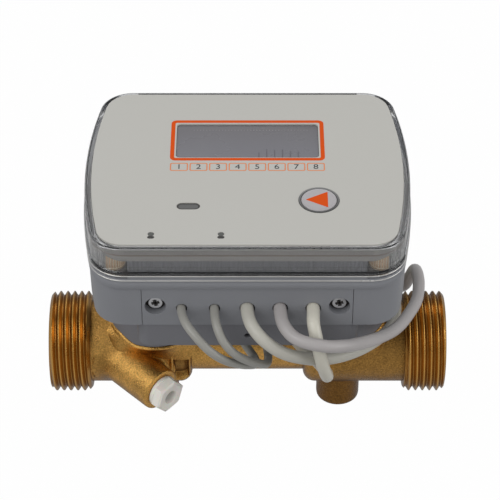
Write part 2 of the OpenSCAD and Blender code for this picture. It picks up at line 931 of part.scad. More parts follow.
// Tray that carries the display above the board, with a raised edge round the glass
module lcd_frame() {
    outer = lcd_size + 2 * [frame_wall, frame_wall];
    color([0.85, 0.85, 0.85])
        translate([0, window_y, 0])
            difference() {
                translate([-outer[0] / 2, -outer[1] / 2, board_top])
                    cube([outer[0], outer[1], lcd_z - board_top + lcd_t - 0.6]);
                translate([-lcd_size[0] / 2 - fit, -lcd_size[1] / 2 - fit, lcd_z])
                    cube([lcd_size[0] + 2 * fit, lcd_size[1] + 2 * fit, lcd_t + cut]);
                translate([-window_w / 2, -window_d / 2, lcd_z - 1.2])
                    cube([window_w, window_d, lcd_t + cut]);
                for (side = ends)
                    translate([0, side * (window_d / 2 + strip_w / 2 + 0.4), board_top])
                        cube([window_w + 2 * fit, strip_w + 2 * fit, 20], center = true);
            }
}

module lcd_contact_strips() {
    color([0.55, 0.45, 0.5])
        for (side = ends)
            translate([0, window_y + side * (window_d / 2 + strip_w / 2 + 0.4), (board_top + lcd_z) / 2])
                cube([window_w, strip_w, lcd_z - board_top], center = true);
}

// Cap with a raised rim that shows in the face, a flange that stays under the roof
// and a stem down to the switch
module button() {
    flange_top = roof_z - button_gap;
    top = plate_top + button_proud;
    color([0.85, 0.84, 0.81])
        translate([button_at[0], button_at[1], 0])
            rotate_extrude()
                polygon([
                    [0, plunger_top], [stem_r, plunger_top], [stem_r, flange_top - button_flange_t],
                    [button_flange_r, flange_top - button_flange_t], [button_flange_r, flange_top],
                    [button_r, flange_top], [button_r, top - button_rim / 2],
                    [button_r - button_rim / 2, top], [button_r - button_rim, top],
                    [button_r - 2 * button_rim, top - button_sink], [0, top - button_sink]
                ]);
}

// Dark ring that fills the gap between the button and the face
module button_ring() {
    color([0.3, 0.3, 0.3])
        difference() {
            rod(button_at, button_hole_d / 2 - fit, plate_z, plate_top + ring_proud);
            rod(button_at, button_r + ring_gap, plate_z - cut, plate_top + cut);
        }
}

// Two small lenses in the front of the face
module indicator_lamps() {
    color([0.3, 0.3, 0.28])
        for (at = lamp_at)
            rod(at, lamp_r, plate_z, plate_top - lamp_sunk);
}

module switch_body() {
    color([0.2, 0.2, 0.2])
        difference() {
            translate([button_at[0] - switch_w / 2, button_at[1] - switch_w / 2, board_top])
                cube([switch_w, switch_w, switch_h]);
            rod(button_at, plunger_r + fit, board_top + switch_h - 2, board_top + switch_h + cut);
        }
}

module switch_plunger() {
    color([0.75, 0.2, 0.15])
        rod(button_at, plunger_r, board_top + switch_h - 1, plunger_top);
}

module main_board() {
    color([0.1, 0.35, 0.2])
        difference() {
            translate([-board_size[0] / 2, -board_size[1] / 2, board_z])
                cube([board_size[0], board_size[1], board_t]);
            at_corners(insert_at)
                rod([0, 0], boss_r + 2 * slip, board_z - cut, board_top + cut);
            at_corners(board_post_at)
                rod([0, 0], small_screw[0] + slip / 2, board_z - cut, board_top + cut);
        }
}

module board_screws() {
    color([0.7, 0.7, 0.72])
        at_corners(board_post_at)
            translate([0, 0, board_top])
                screw(small_screw, board_t + board_post_grip);
}

module infrared_diodes() {
    color([0.2, 0.18, 0.25])
        for (side = ends)
            translate([slot_at[0] + side * diode_at, slot_at[1], board_top])
                rotate_extrude()
                    polygon(concat([[0, 0], [diode_r + 0.3, 0], [diode_r + 0.3, 0.8], [diode_r, 0.8]],
                                   arc([0, 3], diode_r, 0, 90, 6)));
}

module terminal_block() {
    slots = 9;
    pitch = terminal_size[0] / slots;
    color([0.15, 0.4, 0.25])
        translate([-terminal_size[0] / 2, terminal_y - terminal_size[1] / 2, board_z - terminal_size[2]])
            difference() {
                cube(terminal_size);
                for (i = [0:slots - 1])
                    translate([(i + 0.5) * pitch, 0, terminal_size[2] * 0.4])
                        cube([pitch * 0.55, 6, terminal_size[2] * 0.45], center = true);
            }
}

module lithium_cell() {
    color([0.2, 0.4, 0.55])
        translate([0, cell_y, cell_z])
            rotate([0, 90, 0])
                rotate_extrude()
                    polygon([
                        [0, -cell_length / 2], [cell_r - 0.5, -cell_length / 2],
                        [cell_r, -cell_length / 2 + 0.5], [cell_r, cell_length / 2 - 2],
                        [cell_r - 0.5, cell_length / 2 - 1.5], [2.7, cell_length / 2 - 1.5],
                        [2.7, cell_length / 2], [0, cell_length / 2]
                    ]);
}

module cell_cradle() {
    size = [cell_length + 2 * cradle_margin[0], cell_d + 2 * cradle_margin[1], cradle_h];
    color([0.3, 0.3, 0.32])
        difference() {
            translate([-size[0] / 2, cell_y - size[1] / 2, floor_z])
                cube(size);
            translate([-cell_length / 2 - fit, cell_y, cell_z])
                rotate([0, 90, 0])
                    cylinder(h = cell_length + 2 * fit, r = cell_r + fit);
        }
}

// Leads

// Direction of a route at its point i
function heading(route, i) =
    let (a = route[max(i - 1, 0)], b = route[min(i + 1, len(route) - 1)])
    (b - a) / norm(b - a);

function unit(v) = v / norm(v);

// A vector across the route at each point, carried along it without twist
function side_vectors(route) =
    [for (
        i = 0, v = unit(cross(heading(route, 0), [0.3, 0.2, 1]));
        i < len(route);
        i = i + 1,
        v = i < len(route) ? unit(v - (v * heading(route, i)) * heading(route, i)) : v
    ) v];

// Round tube along a route, one ring of corners at each of its points
module tube(route, r, sides) {
    across = side_vectors(route);
    last = (len(route) - 1) * sides;
    corners = [
        for (i = [0:len(route) - 1], k = [0:sides - 1])
            let (u = across[i], w = cross(heading(route, i), u))
            route[i] + r * (cos(360 * k / sides) * u + sin(360 * k / sides) * w)
    ];
    walls = [
        for (i = [0:len(route) - 2], k = [0:sides - 1])
            let (n = (k + 1) % sides, a = i * sides, b = a + sides)
            for (face = [[a + k, b + k, b + n], [a + k, b + n, a + n]]) face
    ];
    polyhedron(
        points = corners,
        faces = concat(
            walls,
            [[for (k = [0:sides - 1]) k]],
            [[for (k = [sides - 1:-1:0]) last + k]]
        )
    );
}

module inlet_transducer_lead() {
    color([0.6, 0.6, 0.56])
        tube(inlet_lead_route, lead_r, 8);
}

module outlet_transducer_lead() {
    color([0.6, 0.6, 0.56])
        tube(outlet_lead_route, lead_r, 8);
}

module supply_sensor_lead() {
    color([0.66, 0.63, 0.62])
        for (route = [supply_route, supply_tail])
            tube(route, cable_r, 10);
}

module return_sensor_lead() {
    color([0.66, 0.65, 0.6])
        for (route = [return_route, return_tail])
            tube(route, cable_r, 10);
}

module bus_lead() {
    color([0.74, 0.74, 0.66])
        for (route = [bus_route, bus_tail])
            tube(route, cable_r, 10);
}

// Outer shape of the turns of a coil: a ring with a section of round corners
module coil(c) {
    translate([c[0][0], c[0][1], c[4] + c[3] / 2])
        rotate_extrude()
            translate([c[1], 0])
                polygon(round_rect(c[2], c[3], coil_round));
}

module supply_lead_coil() {
    color([0.66, 0.63, 0.62])
        coil(supply_coil);
}

module return_lead_coil() {
    color([0.66, 0.65, 0.6])
        coil(return_coil);
}

module bus_lead_coil() {
    color([0.74, 0.74, 0.66])
        coil(bus_coil);
}

// Two flat bands round the turns of each coil, on opposite sides
module coil_ties() {
    grow = 2 * tie_gap;
    color([0.12, 0.12, 0.13])
        for (c = [supply_coil, return_coil, bus_coil], turn = [0, 180])
            translate([c[0][0], c[0][1], c[4] + c[3] / 2])
                rotate([0, 0, c[5] + turn])
                    translate([c[1], 0, 0])
                        difference() {
                            cube([c[2] + grow + 2 * tie_t, tie_w, c[3] + grow + 2 * tie_t], center = true);
                            cube([c[2] + grow, tie_w + cut, c[3] + grow], center = true);
                        }
}

// Stainless sensor tube with a crimped collar, laid along X from its lead's end in direction way
module probe(tail, way) {
    at = tail[len(tail) - 1];
    color([0.77, 0.78, 0.8])
        translate(at)
            rotate([0, 90 * way, 0])
                rotate_extrude()
                    polygon([
                        [0, 0], [probe_collar_r - 0.4, 0], [probe_collar_r, 0.4],
                        [probe_collar_r, crimp_length], [probe_r, crimp_length + 0.4],
                        [probe_r, probe_length - 1], [probe_r - 1, probe_length], [0, probe_length]
                    ]);
}

module supply_probe() { probe(supply_tail, -1); }

module return_probe() { probe(return_tail, 1); }

// Two cores with crimped ferrules at the end of the bus lead
module bus_wire_ends() {
    way = bus_tail[len(bus_tail) - 1] - bus_tail[len(bus_tail) - 2];
    color([0.8, 0.45, 0.2])
        translate(bus_tail[len(bus_tail) - 1])
            rotate([0, 0, atan2(way[1], way[0])])
                for (side = ends)
                    translate([0, side * (ferrule_r + 0.25), 0])
                        rotate([0, 90, 0])
                            cylinder(h = ferrule_length, r = ferrule_r, $fn = 16);
}

flow_body();
inlet_reflector();
outlet_reflector();
inlet_transducer();
outlet_transducer();
transducer_seals();
inlet_clamp_plate();
outlet_clamp_plate();
clamp_screws();
port_plug();
port_plug_seal();
neck_sleeves();
mounting_bracket();
bracket_screws();
base_case();
cable_panel();
panel_screws();
cable_seal();
cover_gasket();
clear_cover();
cover_inserts();
cover_screws();
face_plate();
display_window();
optical_window();
lcd_panel();
lcd_frame();
lcd_contact_strips();
button();
button_ring();
indicator_lamps();
switch_body();
switch_plunger();
main_board();
board_screws();
infrared_diodes();
terminal_block();
lithium_cell();
cell_cradle();
inlet_transducer_lead();
outlet_transducer_lead();
supply_sensor_lead();
return_sensor_lead();
bus_lead();
supply_lead_coil();
return_lead_coil();
bus_lead_coil();
coil_ties();
supply_probe();
return_probe();
bus_wire_ends();
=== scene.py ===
"""Dressing of a compact heat meter: brass casting, clear cover, printed face, leads and studio."""

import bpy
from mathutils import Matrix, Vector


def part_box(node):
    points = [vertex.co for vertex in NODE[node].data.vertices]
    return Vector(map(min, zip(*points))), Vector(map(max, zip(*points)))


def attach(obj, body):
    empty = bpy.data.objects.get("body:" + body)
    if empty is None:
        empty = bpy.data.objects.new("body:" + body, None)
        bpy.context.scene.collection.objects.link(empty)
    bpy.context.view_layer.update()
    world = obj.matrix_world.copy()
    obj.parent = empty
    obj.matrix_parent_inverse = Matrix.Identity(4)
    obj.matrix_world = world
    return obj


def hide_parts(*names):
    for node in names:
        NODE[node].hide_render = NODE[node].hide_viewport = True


bl_info = {
    "name": "Heat meter dressing",
    "version": (1, 0, 0),
    "blender": (4, 5, 0),
    "location": "3D View > Sidebar > Meter",
    "description": "Casting, cover, face print, leads and light for a compact heat meter",
    "category": "Object",
}

import math

import bmesh
import bpy
import numpy as np
from bpy.props import FloatProperty, FloatVectorProperty, PointerProperty
from mathutils import Matrix

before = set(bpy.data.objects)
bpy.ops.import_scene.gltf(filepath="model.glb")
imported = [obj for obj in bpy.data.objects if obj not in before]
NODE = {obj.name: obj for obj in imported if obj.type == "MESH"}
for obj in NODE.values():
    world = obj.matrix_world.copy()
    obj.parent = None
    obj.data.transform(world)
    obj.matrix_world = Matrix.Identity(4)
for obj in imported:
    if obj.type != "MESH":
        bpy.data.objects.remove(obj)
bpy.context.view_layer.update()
MM = 0.001
SIDES = (-1, 1)
SHARP = 38.0  # degrees from which an edge between two faces stays sharp

# Heights and places that the solids give, in millimetres
AXIS = 23.0
PLATE_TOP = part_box("face_plate")[1].z / MM
PLATE_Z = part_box("face_plate")[0].z / MM
COVER_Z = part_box("clear_cover")[0].z / MM
COVER_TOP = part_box("clear_cover")[1].z / MM
NECK_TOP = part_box("flow_body")[1].z / MM
HALF_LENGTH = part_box("flow_body")[1].x / MM
BRACKET_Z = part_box("mounting_bracket")[0].z / MM
PANEL_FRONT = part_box("cable_panel")[0].y / MM
BUTTON_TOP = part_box("button")[1].z / MM

# Routes of the leads after the straight run out of their holes, as in the part's source
INLET_LEAD = [
    [-18.6, -47, 72.3], [-15.3, -51.5, 70.5], [-11.5, -53.5, 67],
    [-7.5, -53, 63], [-3, -49, 57.5], [0.5, -43.5, 52], [2.5, -38, 47.5], [2, -32, 45], [-0.5, -28.5, 46.5],
    [-2.8, -27, 51], [-3, -27, 58.5],
]
OUTLET_LEAD = [
    [-9.4, -47, 71.9], [-7.5, -51, 69], [-4.5, -52, 65],
    [-0.3, -50, 60], [3.5, -45, 54], [6, -39.5, 49], [6.5, -33.5, 47], [5.8, -29.5, 49], [5, -28, 53],
    [5, -28, 58.5],
]
RETURN_LEAD = [
    [1.3, -47.5, 71.9], [4.3, -51, 69.8], [8.5, -52, 66.3],
    [18, -48, 58.8], [27, -41, 52.8], [36, -32, 48.5], [41.5, -25, 46.3], [46, -17, 44], [48, -8, 42.5],
    [48.2, 2, 41.3], [48, 11, 38.5], [47, 19, 33], [46, 25, 26.5], [46, 31, 21], [47.5, 37, 18.5],
]
RETURN_TAIL = [[3.5, 61, 29.6], [5.5, 54.5, 30.2], [10, 52, 30.6], [13, 52, 30.6]]
SUPPLY_LEAD = [
    [11, -48, 72.3], [14, -52.5, 71.5], [22.5, -55, 70.3],
    [29, -52, 67.5], [34, -47, 64], [40, -39, 59], [46, -29, 53.5], [51.5, -16, 48.5], [55, -6, 46.5],
    [56.2, 3, 45.5], [56.2, 11, 43.5], [56, 18, 38.8], [55.3, 24, 31], [54.3, 29.5, 22.5], [53.2, 37, 15.5],
]
SUPPLY_TAIL = [[13, 84.8, 3.3], [4, 84.6, 3.1], [-2, 84.2, 3], [-6, 84.2, 3]]
BUS_LEAD = [
    [20, -47, 71.9], [20.8, -50, 69], [21.8, -51, 64],
    [23.3, -49.7, 56.5], [24.5, -45.8, 49.6], [24.9, -40, 44.5], [24.6, -33, 39.8], [22.8, -27, 37.6],
    [18.8, -20, 36.7], [15, -12.5, 35.6], [13, -4, 35], [12.8, 5, 34.7], [12.5, 13, 31], [11, 18, 24],
    [8, 23, 15.5], [3, 27.5, 8.5], [-4, 30.5, 5],
]
BUS_TAIL = [[-29, 75, 15.7], [-19, 72.5, 15.7]]
HOLE_Z, RUN_Y = 72.5, (-34.5, -42)  # height of the holes, and where each straight run starts and ends


def linear(red, green, blue):
    """Scene-linear colour of an sRGB colour given in 0 to 255."""
    c = np.array([red, green, blue]) / 255.0
    return tuple(np.where(c <= 0.04045, c / 12.92, ((c + 0.055) / 1.055) ** 2.4))


def colour(name, words, rgb):
    return FloatVectorProperty(name=name, description=words, subtype="COLOR", size=3, min=0.0, max=1.0,
                               default=linear(*rgb))


def length(name, words, value):
    return FloatProperty(name=name, description=words, default=value * MM, min=0.0, unit="LENGTH", precision=4)


class MeterSizes(bpy.types.PropertyGroup):
    """Sizes of the dressing that the solids don't carry"""
    thread_pitch: length("Thread pitch", "Distance between neighbouring thread crests", 2.309)
    thread_depth: length("Thread depth", "Depth of the thread from crest to root", 1.35)
    neck_fillet: length("Neck fillet", "Reach of the fillet between a neck and the pipe", 2.6)
    port_fillet: length("Port fillet", "Reach of the fillet between the sensor port and the pipe", 2.6)
    foot_fillet: length("Foot fillet", "Reach of the fillet between a foot boss and the pipe", 1.0)
    thin_lead: length("Thin lead", "Diameter of the transducer leads", 2.7)
    thick_lead: length("Thick lead", "Diameter of the sensor and bus leads", 4.0)
    turn_pitch: length("Turn pitch", "Distance between neighbouring turns of a coil", 4.2)
    print_thickness: length("Print thickness", "Thickness of the printed lines on the face", 0.03)
    frame_line: length("Frame line", "Width of the printed line round the display", 1.3)
    box_line: length("Box line", "Width of the printed line round each label", 0.36)


class MeterColours(bpy.types.PropertyGroup):
    """Colours of the finishes"""
    # Painted highlight: the brightest brass, shown at full shade along the rims of the cast ridges while painted shade
    # holds most of the casting darker
    brass: colour("Brass", "Cast brass where it is rubbed bright", (214, 165, 90))
    # Painted shade: the darker brass that the thread roots run to
    brass_dark: colour("Dark brass", "Turned brass in the thread roots", (140, 92, 36))
    # Painted shade: the darkest brass, mixed in at edges that turn away and, by the shade attribute, over the cast
    # brass
    brass_edge: colour("Brass edge", "Brass where it turns away, and cast brass in the shade", (92, 56, 18))
    case_grey: colour("Case grey", "Moulded base and cable panel", (128, 129, 133))
    band: colour("Inner band", "Band behind the wall of the clear cover", (152, 148, 143))
    bracket_grey: colour("Bracket grey", "Moulded bracket under the base", (112, 112, 116))
    face: colour("Face", "Painted face plate", (188, 186, 179))
    cap: colour("Button cap", "Cap of the button", (172, 168, 169))
    print_orange: colour("Print orange", "Printed frame and arrow", (216, 80, 14))
    print_pale: colour("Pale print", "Printed lines round the labels", (224, 138, 94))
    print_black: colour("Black print", "Printed label numbers", (40, 40, 42))
    display: colour("Display", "Display glass at rest", (88, 85, 89))
    plug: colour("Plug", "White plug of the sensor port", (244, 239, 229))
    thin_lead: colour("Thin lead", "Transducer leads", (154, 152, 145))
    return_lead: colour("Return lead", "Return sensor lead", (190, 187, 176))
    supply_lead: colour("Supply lead", "Supply sensor lead", (173, 168, 166))
    bus_lead: colour("Bus lead", "Bus lead", (210, 206, 192))
    floor: colour("Floor", "Floor of the studio", (146, 146, 146))


# Surfaces


def sheet(points, wrap_u=False, wrap_v=True, shade=1.0):
    """One grid of points (rows, columns, 3) in mm, closed over on the sides named, with a shade per point."""
    points = np.asarray(points, float)
    return points, wrap_u, wrap_v, np.broadcast_to(shade, points.shape[:2])


def tube(points, shade=1.0):
    """Grid that is closed over on both sides."""
    return sheet(points, True, True, shade)


def grid(x, y, z):
    """Points with these coordinates, of which single numbers hold for all."""
    return np.stack(np.broadcast_arrays(x, y, z), -1)


def quads(rows, columns, wrap_u, wrap_v):
    """Corner numbers of every cell of a grid: each point with its next row and column, modulo the closed sides."""
    a, b = np.meshgrid(np.arange(rows - (not wrap_u)), np.arange(columns - (not wrap_v)), indexing="ij")
    a2, b2 = (a + 1) % rows, (b + 1) % columns
    return np.stack([a * columns + b, a2 * columns + b, a2 * columns + b2, a * columns + b2], -1).reshape(-1, 4)


def piece(name, sheets, material, body="meter", sharp=SHARP, stands_for=()):
    """One mesh object from grids; an open first or last row that is a ring is closed with one flat face."""
    faces, start = [], 0
    for points, wrap_u, wrap_v, _ in sheets:
        rows, columns = points.shape[:2]
        faces.extend((quads(rows, columns, wrap_u, wrap_v) + start).tolist())
        if wrap_v and not wrap_u:
            faces.append((np.arange(columns) + start).tolist())
            faces.append((np.arange(columns) + start + (rows - 1) * columns).tolist())
        start += rows * columns
    mesh = bpy.data.meshes.new(name)
    mesh.from_pydata(np.concatenate([s[0].reshape(-1, 3) for s in sheets]) * MM, [], faces)
    painted_light = mesh.attributes.new("shade", "FLOAT", "POINT")
    painted_light.data.foreach_set("value", np.concatenate([s[3].ravel() for s in sheets]).astype(np.float32))
    return place_mesh(name, mesh, material, body, sharp, stands_for)


def show(name, data):
    """New object at the origin, linked to the scene."""
    obj = bpy.data.objects.new(name, data)
    bpy.context.scene.collection.objects.link(obj)
    return obj


def place_mesh(name, mesh, material, body, sharp=SHARP, stands_for=()):
    """Links a finished mesh as a piece: faces outwards, smooth but for edges sharper than the angle given."""
    bm = bmesh.new()
    bm.from_mesh(mesh)
    bmesh.ops.recalc_face_normals(bm, faces=bm.faces)
    bm.to_mesh(mesh)
    bm.free()
    mesh.shade_smooth()
    mesh.set_sharp_from_angle(angle=math.radians(sharp))
    mesh.materials.append(material)
    obj = show(name, mesh)
    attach(obj, body)
    if stands_for:
        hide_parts(*stands_for)
    return obj


def unit(vector):
    """Direction of a vector."""
    return vector / np.linalg.norm(vector)


def circle(columns):
    """Angles of the columns of a full turn."""
    return np.arange(columns) * 2 * np.pi / columns


def smooth(share):
    """Step from 0 to 1 that starts and ends level: 3 s^2 - 2 s^3."""
    share = np.clip(share, 0, 1)
    return share ** 2 * (3 - 2 * share)


def bezier_rows(a, corner, b, steps):
    """Quadratic curve from a over the corner to b for every column: rows of a fillet."""
    t = np.linspace(0, 1, steps)[:, None, None]
    return (1 - t) ** 2 * a[None] + 2 * t * (1 - t) * corner[None] + t ** 2 * b[None]


def soften(points, radii, steps=5, closed=False):
    """Profile whose corners become quadratic curves, from a point on the side before to one on the side after."""
    p = np.asarray(points, float)
    r = np.broadcast_to(np.asarray(radii, float), len(p)).copy()
    if not closed:
        r[0] = r[-1] = 0.0
    ends = []
    for way in SIDES:
        side = np.roll(p, -way, 0) - p
        reach = np.linalg.norm(side, axis=1)
        ends.append(p + side / reach[:, None] * np.minimum(r, reach * 0.48)[:, None])
    keep = np.ones((len(p), steps), bool)
    keep[r == 0, 1:] = False
    return np.swapaxes(bezier_rows(ends[0], p, ends[1], steps), 0, 1)[keep]


def spokes(axis, across, columns):
    """Directions round an axis: cos(turn) * across + sin(turn) * (axis x across)."""
    turn = circle(columns)[:, None]
    return np.cos(turn) * np.asarray(across, float) + np.sin(turn) * np.cross(axis, across)


def turned(profile, origin, axis, across, columns=96):
    """Profile of (radius, distance) rows turned about an axis: origin + distance * axis + radius * spoke."""
    r, d = np.asarray(profile, float).T[..., None, None]
    return np.asarray(origin, float) + d * np.asarray(axis, float) + r * spokes(axis, across, columns)


def plate(outline, low, high):
    """Flat plate with an outline of (x, y) points, between two heights."""
    return sheet([grid(*outline.T, z) for z in (low, high)])


def strip(face, back, low, high, shade=1.0):
    """Upright strip between a face and a back, each the (x, y) along it, from low to high."""
    rows = [grid(*flat, z) for flat, z in ((face, low), (face, high), (back, high), (back, low))]
    return sheet(np.stack(rows, 1), shade=shade)


# Plan of the calculator: centre, radius and angle of every point of its outline
CASE_BOW, CASE_CORNER, CASE_Y = 170.0, 11.0, 30.2
BOW_X = 51.1 - CASE_BOW
LEAN = math.asin(CASE_Y / (CASE_BOW - CASE_CORNER))
CORNER_X = BOW_X + (CASE_BOW - CASE_CORNER) * math.cos(LEAN)
BOW_STEPS, CORNER_STEPS, COVER_WALL = 25, 161, 2.3


def case_outline():
    """Arcs in turn round the plan, bow, corner, corner and the same again: centre + radius * direction.

    A point that two arcs share is skipped at the start, or dropped at the end, of one of them.
    """
    q = math.pi / 2
    arcs = []
    for x, y, radius, start, end, steps, skip, drop in (
        (BOW_X, 0, CASE_BOW, -LEAN, LEAN, BOW_STEPS, 0, 0),
        (CORNER_X, CASE_Y, CASE_CORNER, LEAN, q, CORNER_STEPS, 1, 0),
        (-CORNER_X, CASE_Y, CASE_CORNER, q, 2 * q - LEAN, CORNER_STEPS, 0, 0),
        (-BOW_X, 0, CASE_BOW, 2 * q - LEAN, 2 * q + LEAN, BOW_STEPS, 1, 0),
        (-CORNER_X, -CASE_Y, CASE_CORNER, 2 * q + LEAN, 3 * q, CORNER_STEPS, 1, 0),
        (CORNER_X, -CASE_Y, CASE_CORNER, 3 * q, 4 * q - LEAN, CORNER_STEPS, 0, 1),
    ):
        corner = np.linspace(0, 1, steps) * (radius == CASE_CORNER)
        arc = np.stack(np.broadcast_arrays(x, y, radius, np.linspace(start, end, steps), corner))
        arcs.append(arc[:, skip:steps - drop])
    x, y, radius, angle, corner = np.concatenate(arcs, 1)
    return np.stack([x, y], -1), radius, angle, corner


def case_loft(profile, ripple=0):
    """Profile of (inset, height) rows carried round the plan; ripple adds to the inset of each row and column."""
    centre, radius, angle, _ = case_outline()
    profile = np.asarray(profile, float)
    reach = radius - profile[:, :1] - ripple
    return grid(centre[:, 0] + reach * np.cos(angle), centre[:, 1] + reach * np.sin(angle), profile[:, 1:])


def rounded_rectangle(width, depth, radius, middle, steps=8):
    """Outline of a rectangle with round corners: a corner centre plus radius times direction, a quarter turn each."""
    quarter = np.arange(4)[:, None] * np.pi / 2 + np.linspace(0, np.pi / 2, steps)[None]
    sign = np.array([[1, 1], [-1, 1], [-1, -1], [1, -1]])
    centre = np.asarray(middle) + sign * [width / 2 - radius, depth / 2 - radius]
    return (centre[:, None] + radius * np.stack([np.cos(quarter), np.sin(quarter)], -1)).reshape(-1, 2)


def printed_ring(width, depth, line, radii, middle, z, thickness):
    """Flat printed line inside a rounded rectangle: bottom and top outside, top and bottom inside, closed over."""
    outer = rounded_rectangle(width, depth, radii[0], middle).T
    inner = rounded_rectangle(width - 2 * line, depth - 2 * line, radii[1], middle).T
    top = z + thickness
    return tube([grid(*flat, height) for flat, height in ((outer, z), (outer, top), (inner, top), (inner, z))])


# Flow casting
PIPE_R, TUBE_R, SHOULDER_X, SHOULDER_R = 13.4, 9.4, 18.4, 4.0
NECK_X, PORT_R, PORT_REACH, FOOT_R = 30.5, 7.2, 32.3, 7.2
THREAD_LENGTH, FOOT_BORE, PORT_BORE = 13.4, 4.02, 4.05
PORT_ORIGIN = np.array([-HALF_LENGTH + 14.0, 0.0, AXIS])
PORT_TURN, PORT_DROP = math.radians(45), math.radians(2)
PORT_AXIS = np.array([math.cos(PORT_TURN) * math.cos(PORT_DROP), -math.sin(PORT_TURN) * math.cos(PORT_DROP),
                      -math.sin(PORT_DROP)])
PORT_ACROSS = unit(np.cross(PORT_AXIS, [0, 0, 1]))
NECK_COLUMNS = 192
NECK_COS, NECK_SIN = np.cos(circle(NECK_COLUMNS)), np.sin(circle(NECK_COLUMNS))
FILLET_STEPS = 12


def body_radius(x):
    """Outside radius of the pipe at x: the measuring tube, a quarter-round shoulder, then the pipe."""
    drop = np.clip(SHOULDER_X + SHOULDER_R - np.abs(x), 0, SHOULDER_R)
    return np.where(np.abs(x) < SHOULDER_X, TUBE_R, PIPE_R - SHOULDER_R + np.sqrt(SHOULDER_R ** 2 - drop ** 2))


def neck_ring(x0, r, z):
    """Level ring of radius r about a neck's axis; r and z may change along it."""
    return grid(x0 + r * NECK_COS, r * NECK_SIN, z)


def neck_meets(x0, r):
    """Height where a neck meets the pipe: there the distance to the pipe axis is the pipe's radius. By halving."""
    low, high = np.zeros(NECK_COLUMNS), np.full(NECK_COLUMNS, 20.0)
    for _ in range(40):
        mid = (low + high) / 2
        outside = np.hypot(r * NECK_SIN, mid) > body_radius(x0 + r * NECK_COS)
        low, high = np.where(outside, low, mid), np.where(outside, mid, high)
    return AXIS + high


def neck_sheet(x0, fillet, painted_light):
    """Neck as a closed tube: rim, spigot, shoulder, wall, a fillet onto the pipe and back up inside.

    The fillet ends on the pipe where a wider neck would meet it, and is smaller where the pipe falls away.
    """
    bore, spigot, shoulder, wall, deep = 7.1, 11.0, 12.55, 13.1, 0.8
    tries, near = np.linspace(0, fillet, 46)[:, None], range(-6, 7)
    fits = (wall + tries) * np.abs(NECK_SIN) < 0.985 * body_radius(x0 + (wall + tries) * NECK_COS)
    reach = tries[np.clip(np.cumprod(fits, 0).sum(0) - 1, 0, len(tries) - 1), 0]
    for ease in (np.min, np.mean):
        reach = ease([np.roll(reach, k) for k in near], 0)
    corner, end = neck_meets(x0, wall), neck_meets(x0, wall + reach)
    start, edge = corner + np.maximum(reach, 0.4), BRACKET_Z - 0.6
    rows = [(bore, NECK_TOP), (spigot - 0.4, NECK_TOP), (spigot - 0.1, NECK_TOP - 0.1), (spigot, NECK_TOP - 0.4),
            (spigot, BRACKET_Z), (12.1, BRACKET_Z), (12.45, BRACKET_Z - 0.15), (shoulder, edge)]
    rows += [(shoulder + (wall - shoulder) * k, edge * (1 - k) + start * k) for k in np.linspace(0, 1, 9)[1:-1]]
    curve = bezier_rows(neck_ring(x0, wall, start), neck_ring(x0, wall, corner), neck_ring(x0, wall + reach, end),
                        FILLET_STEPS)
    under = [(wall + reach - 0.1, end - deep), (9.0, neck_meets(x0, 9.0) - deep), (bore, NECK_TOP - 4)]
    # Painted shade: the outside at the level given, full shade inside the neck
    shade = np.repeat([painted_light, 0], [len(rows) + FILLET_STEPS, len(under)])
    rows, under = ([neck_ring(x0, *row) for row in part] for part in (rows, under))
    return tube(np.concatenate([rows, curve, under]), shade[:, None])


def ridge_sheet(x0, painted_light):
    """Cast ridge round the foot of a neck: a crisp rim that falls in a hollow curve onto the pipe.

    The rim is higher towards the pipe's ends. The curve ends at the smaller of a wider ring and 0.97 of the pipe's
    radius over the sine of the turn.
    """
    inside, rim, top = 13.2, 15.5, 33.35 + 2.4 * smooth((np.abs(NECK_COS) - 0.36) / 0.45)
    end = np.minimum(rim + 2, 0.97 * PIPE_R / np.maximum(np.abs(NECK_SIN), 1e-6))
    foot = np.minimum(AXIS + np.sqrt(PIPE_R ** 2 - (end * NECK_SIN) ** 2), top - 1.6)
    brow = top - 0.75
    crest = [(inside, top - 1), (inside, top), (rim - 0.65, top), (rim - 0.45, top - 0.05), (rim - 0.05, top - 0.5)]
    hollow = neck_ring(x0, end + 0.25 * (rim - end), foot + 0.55 * (brow - foot))
    curve = bezier_rows(neck_ring(x0, rim, brow), hollow, neck_ring(x0, end, foot), FILLET_STEPS)
    rows = [[neck_ring(x0, *row) for row in crest], curve, [neck_ring(x0, end - 1.2, foot - 0.4)]]
    # Painted highlight along the rim, then painted shade falling to the level given over the curve and the foot
    shade = np.concatenate([np.ones(5), np.linspace(1, painted_light, 8), np.full(5, painted_light)])
    return tube(np.concatenate(rows), shade[:, None])


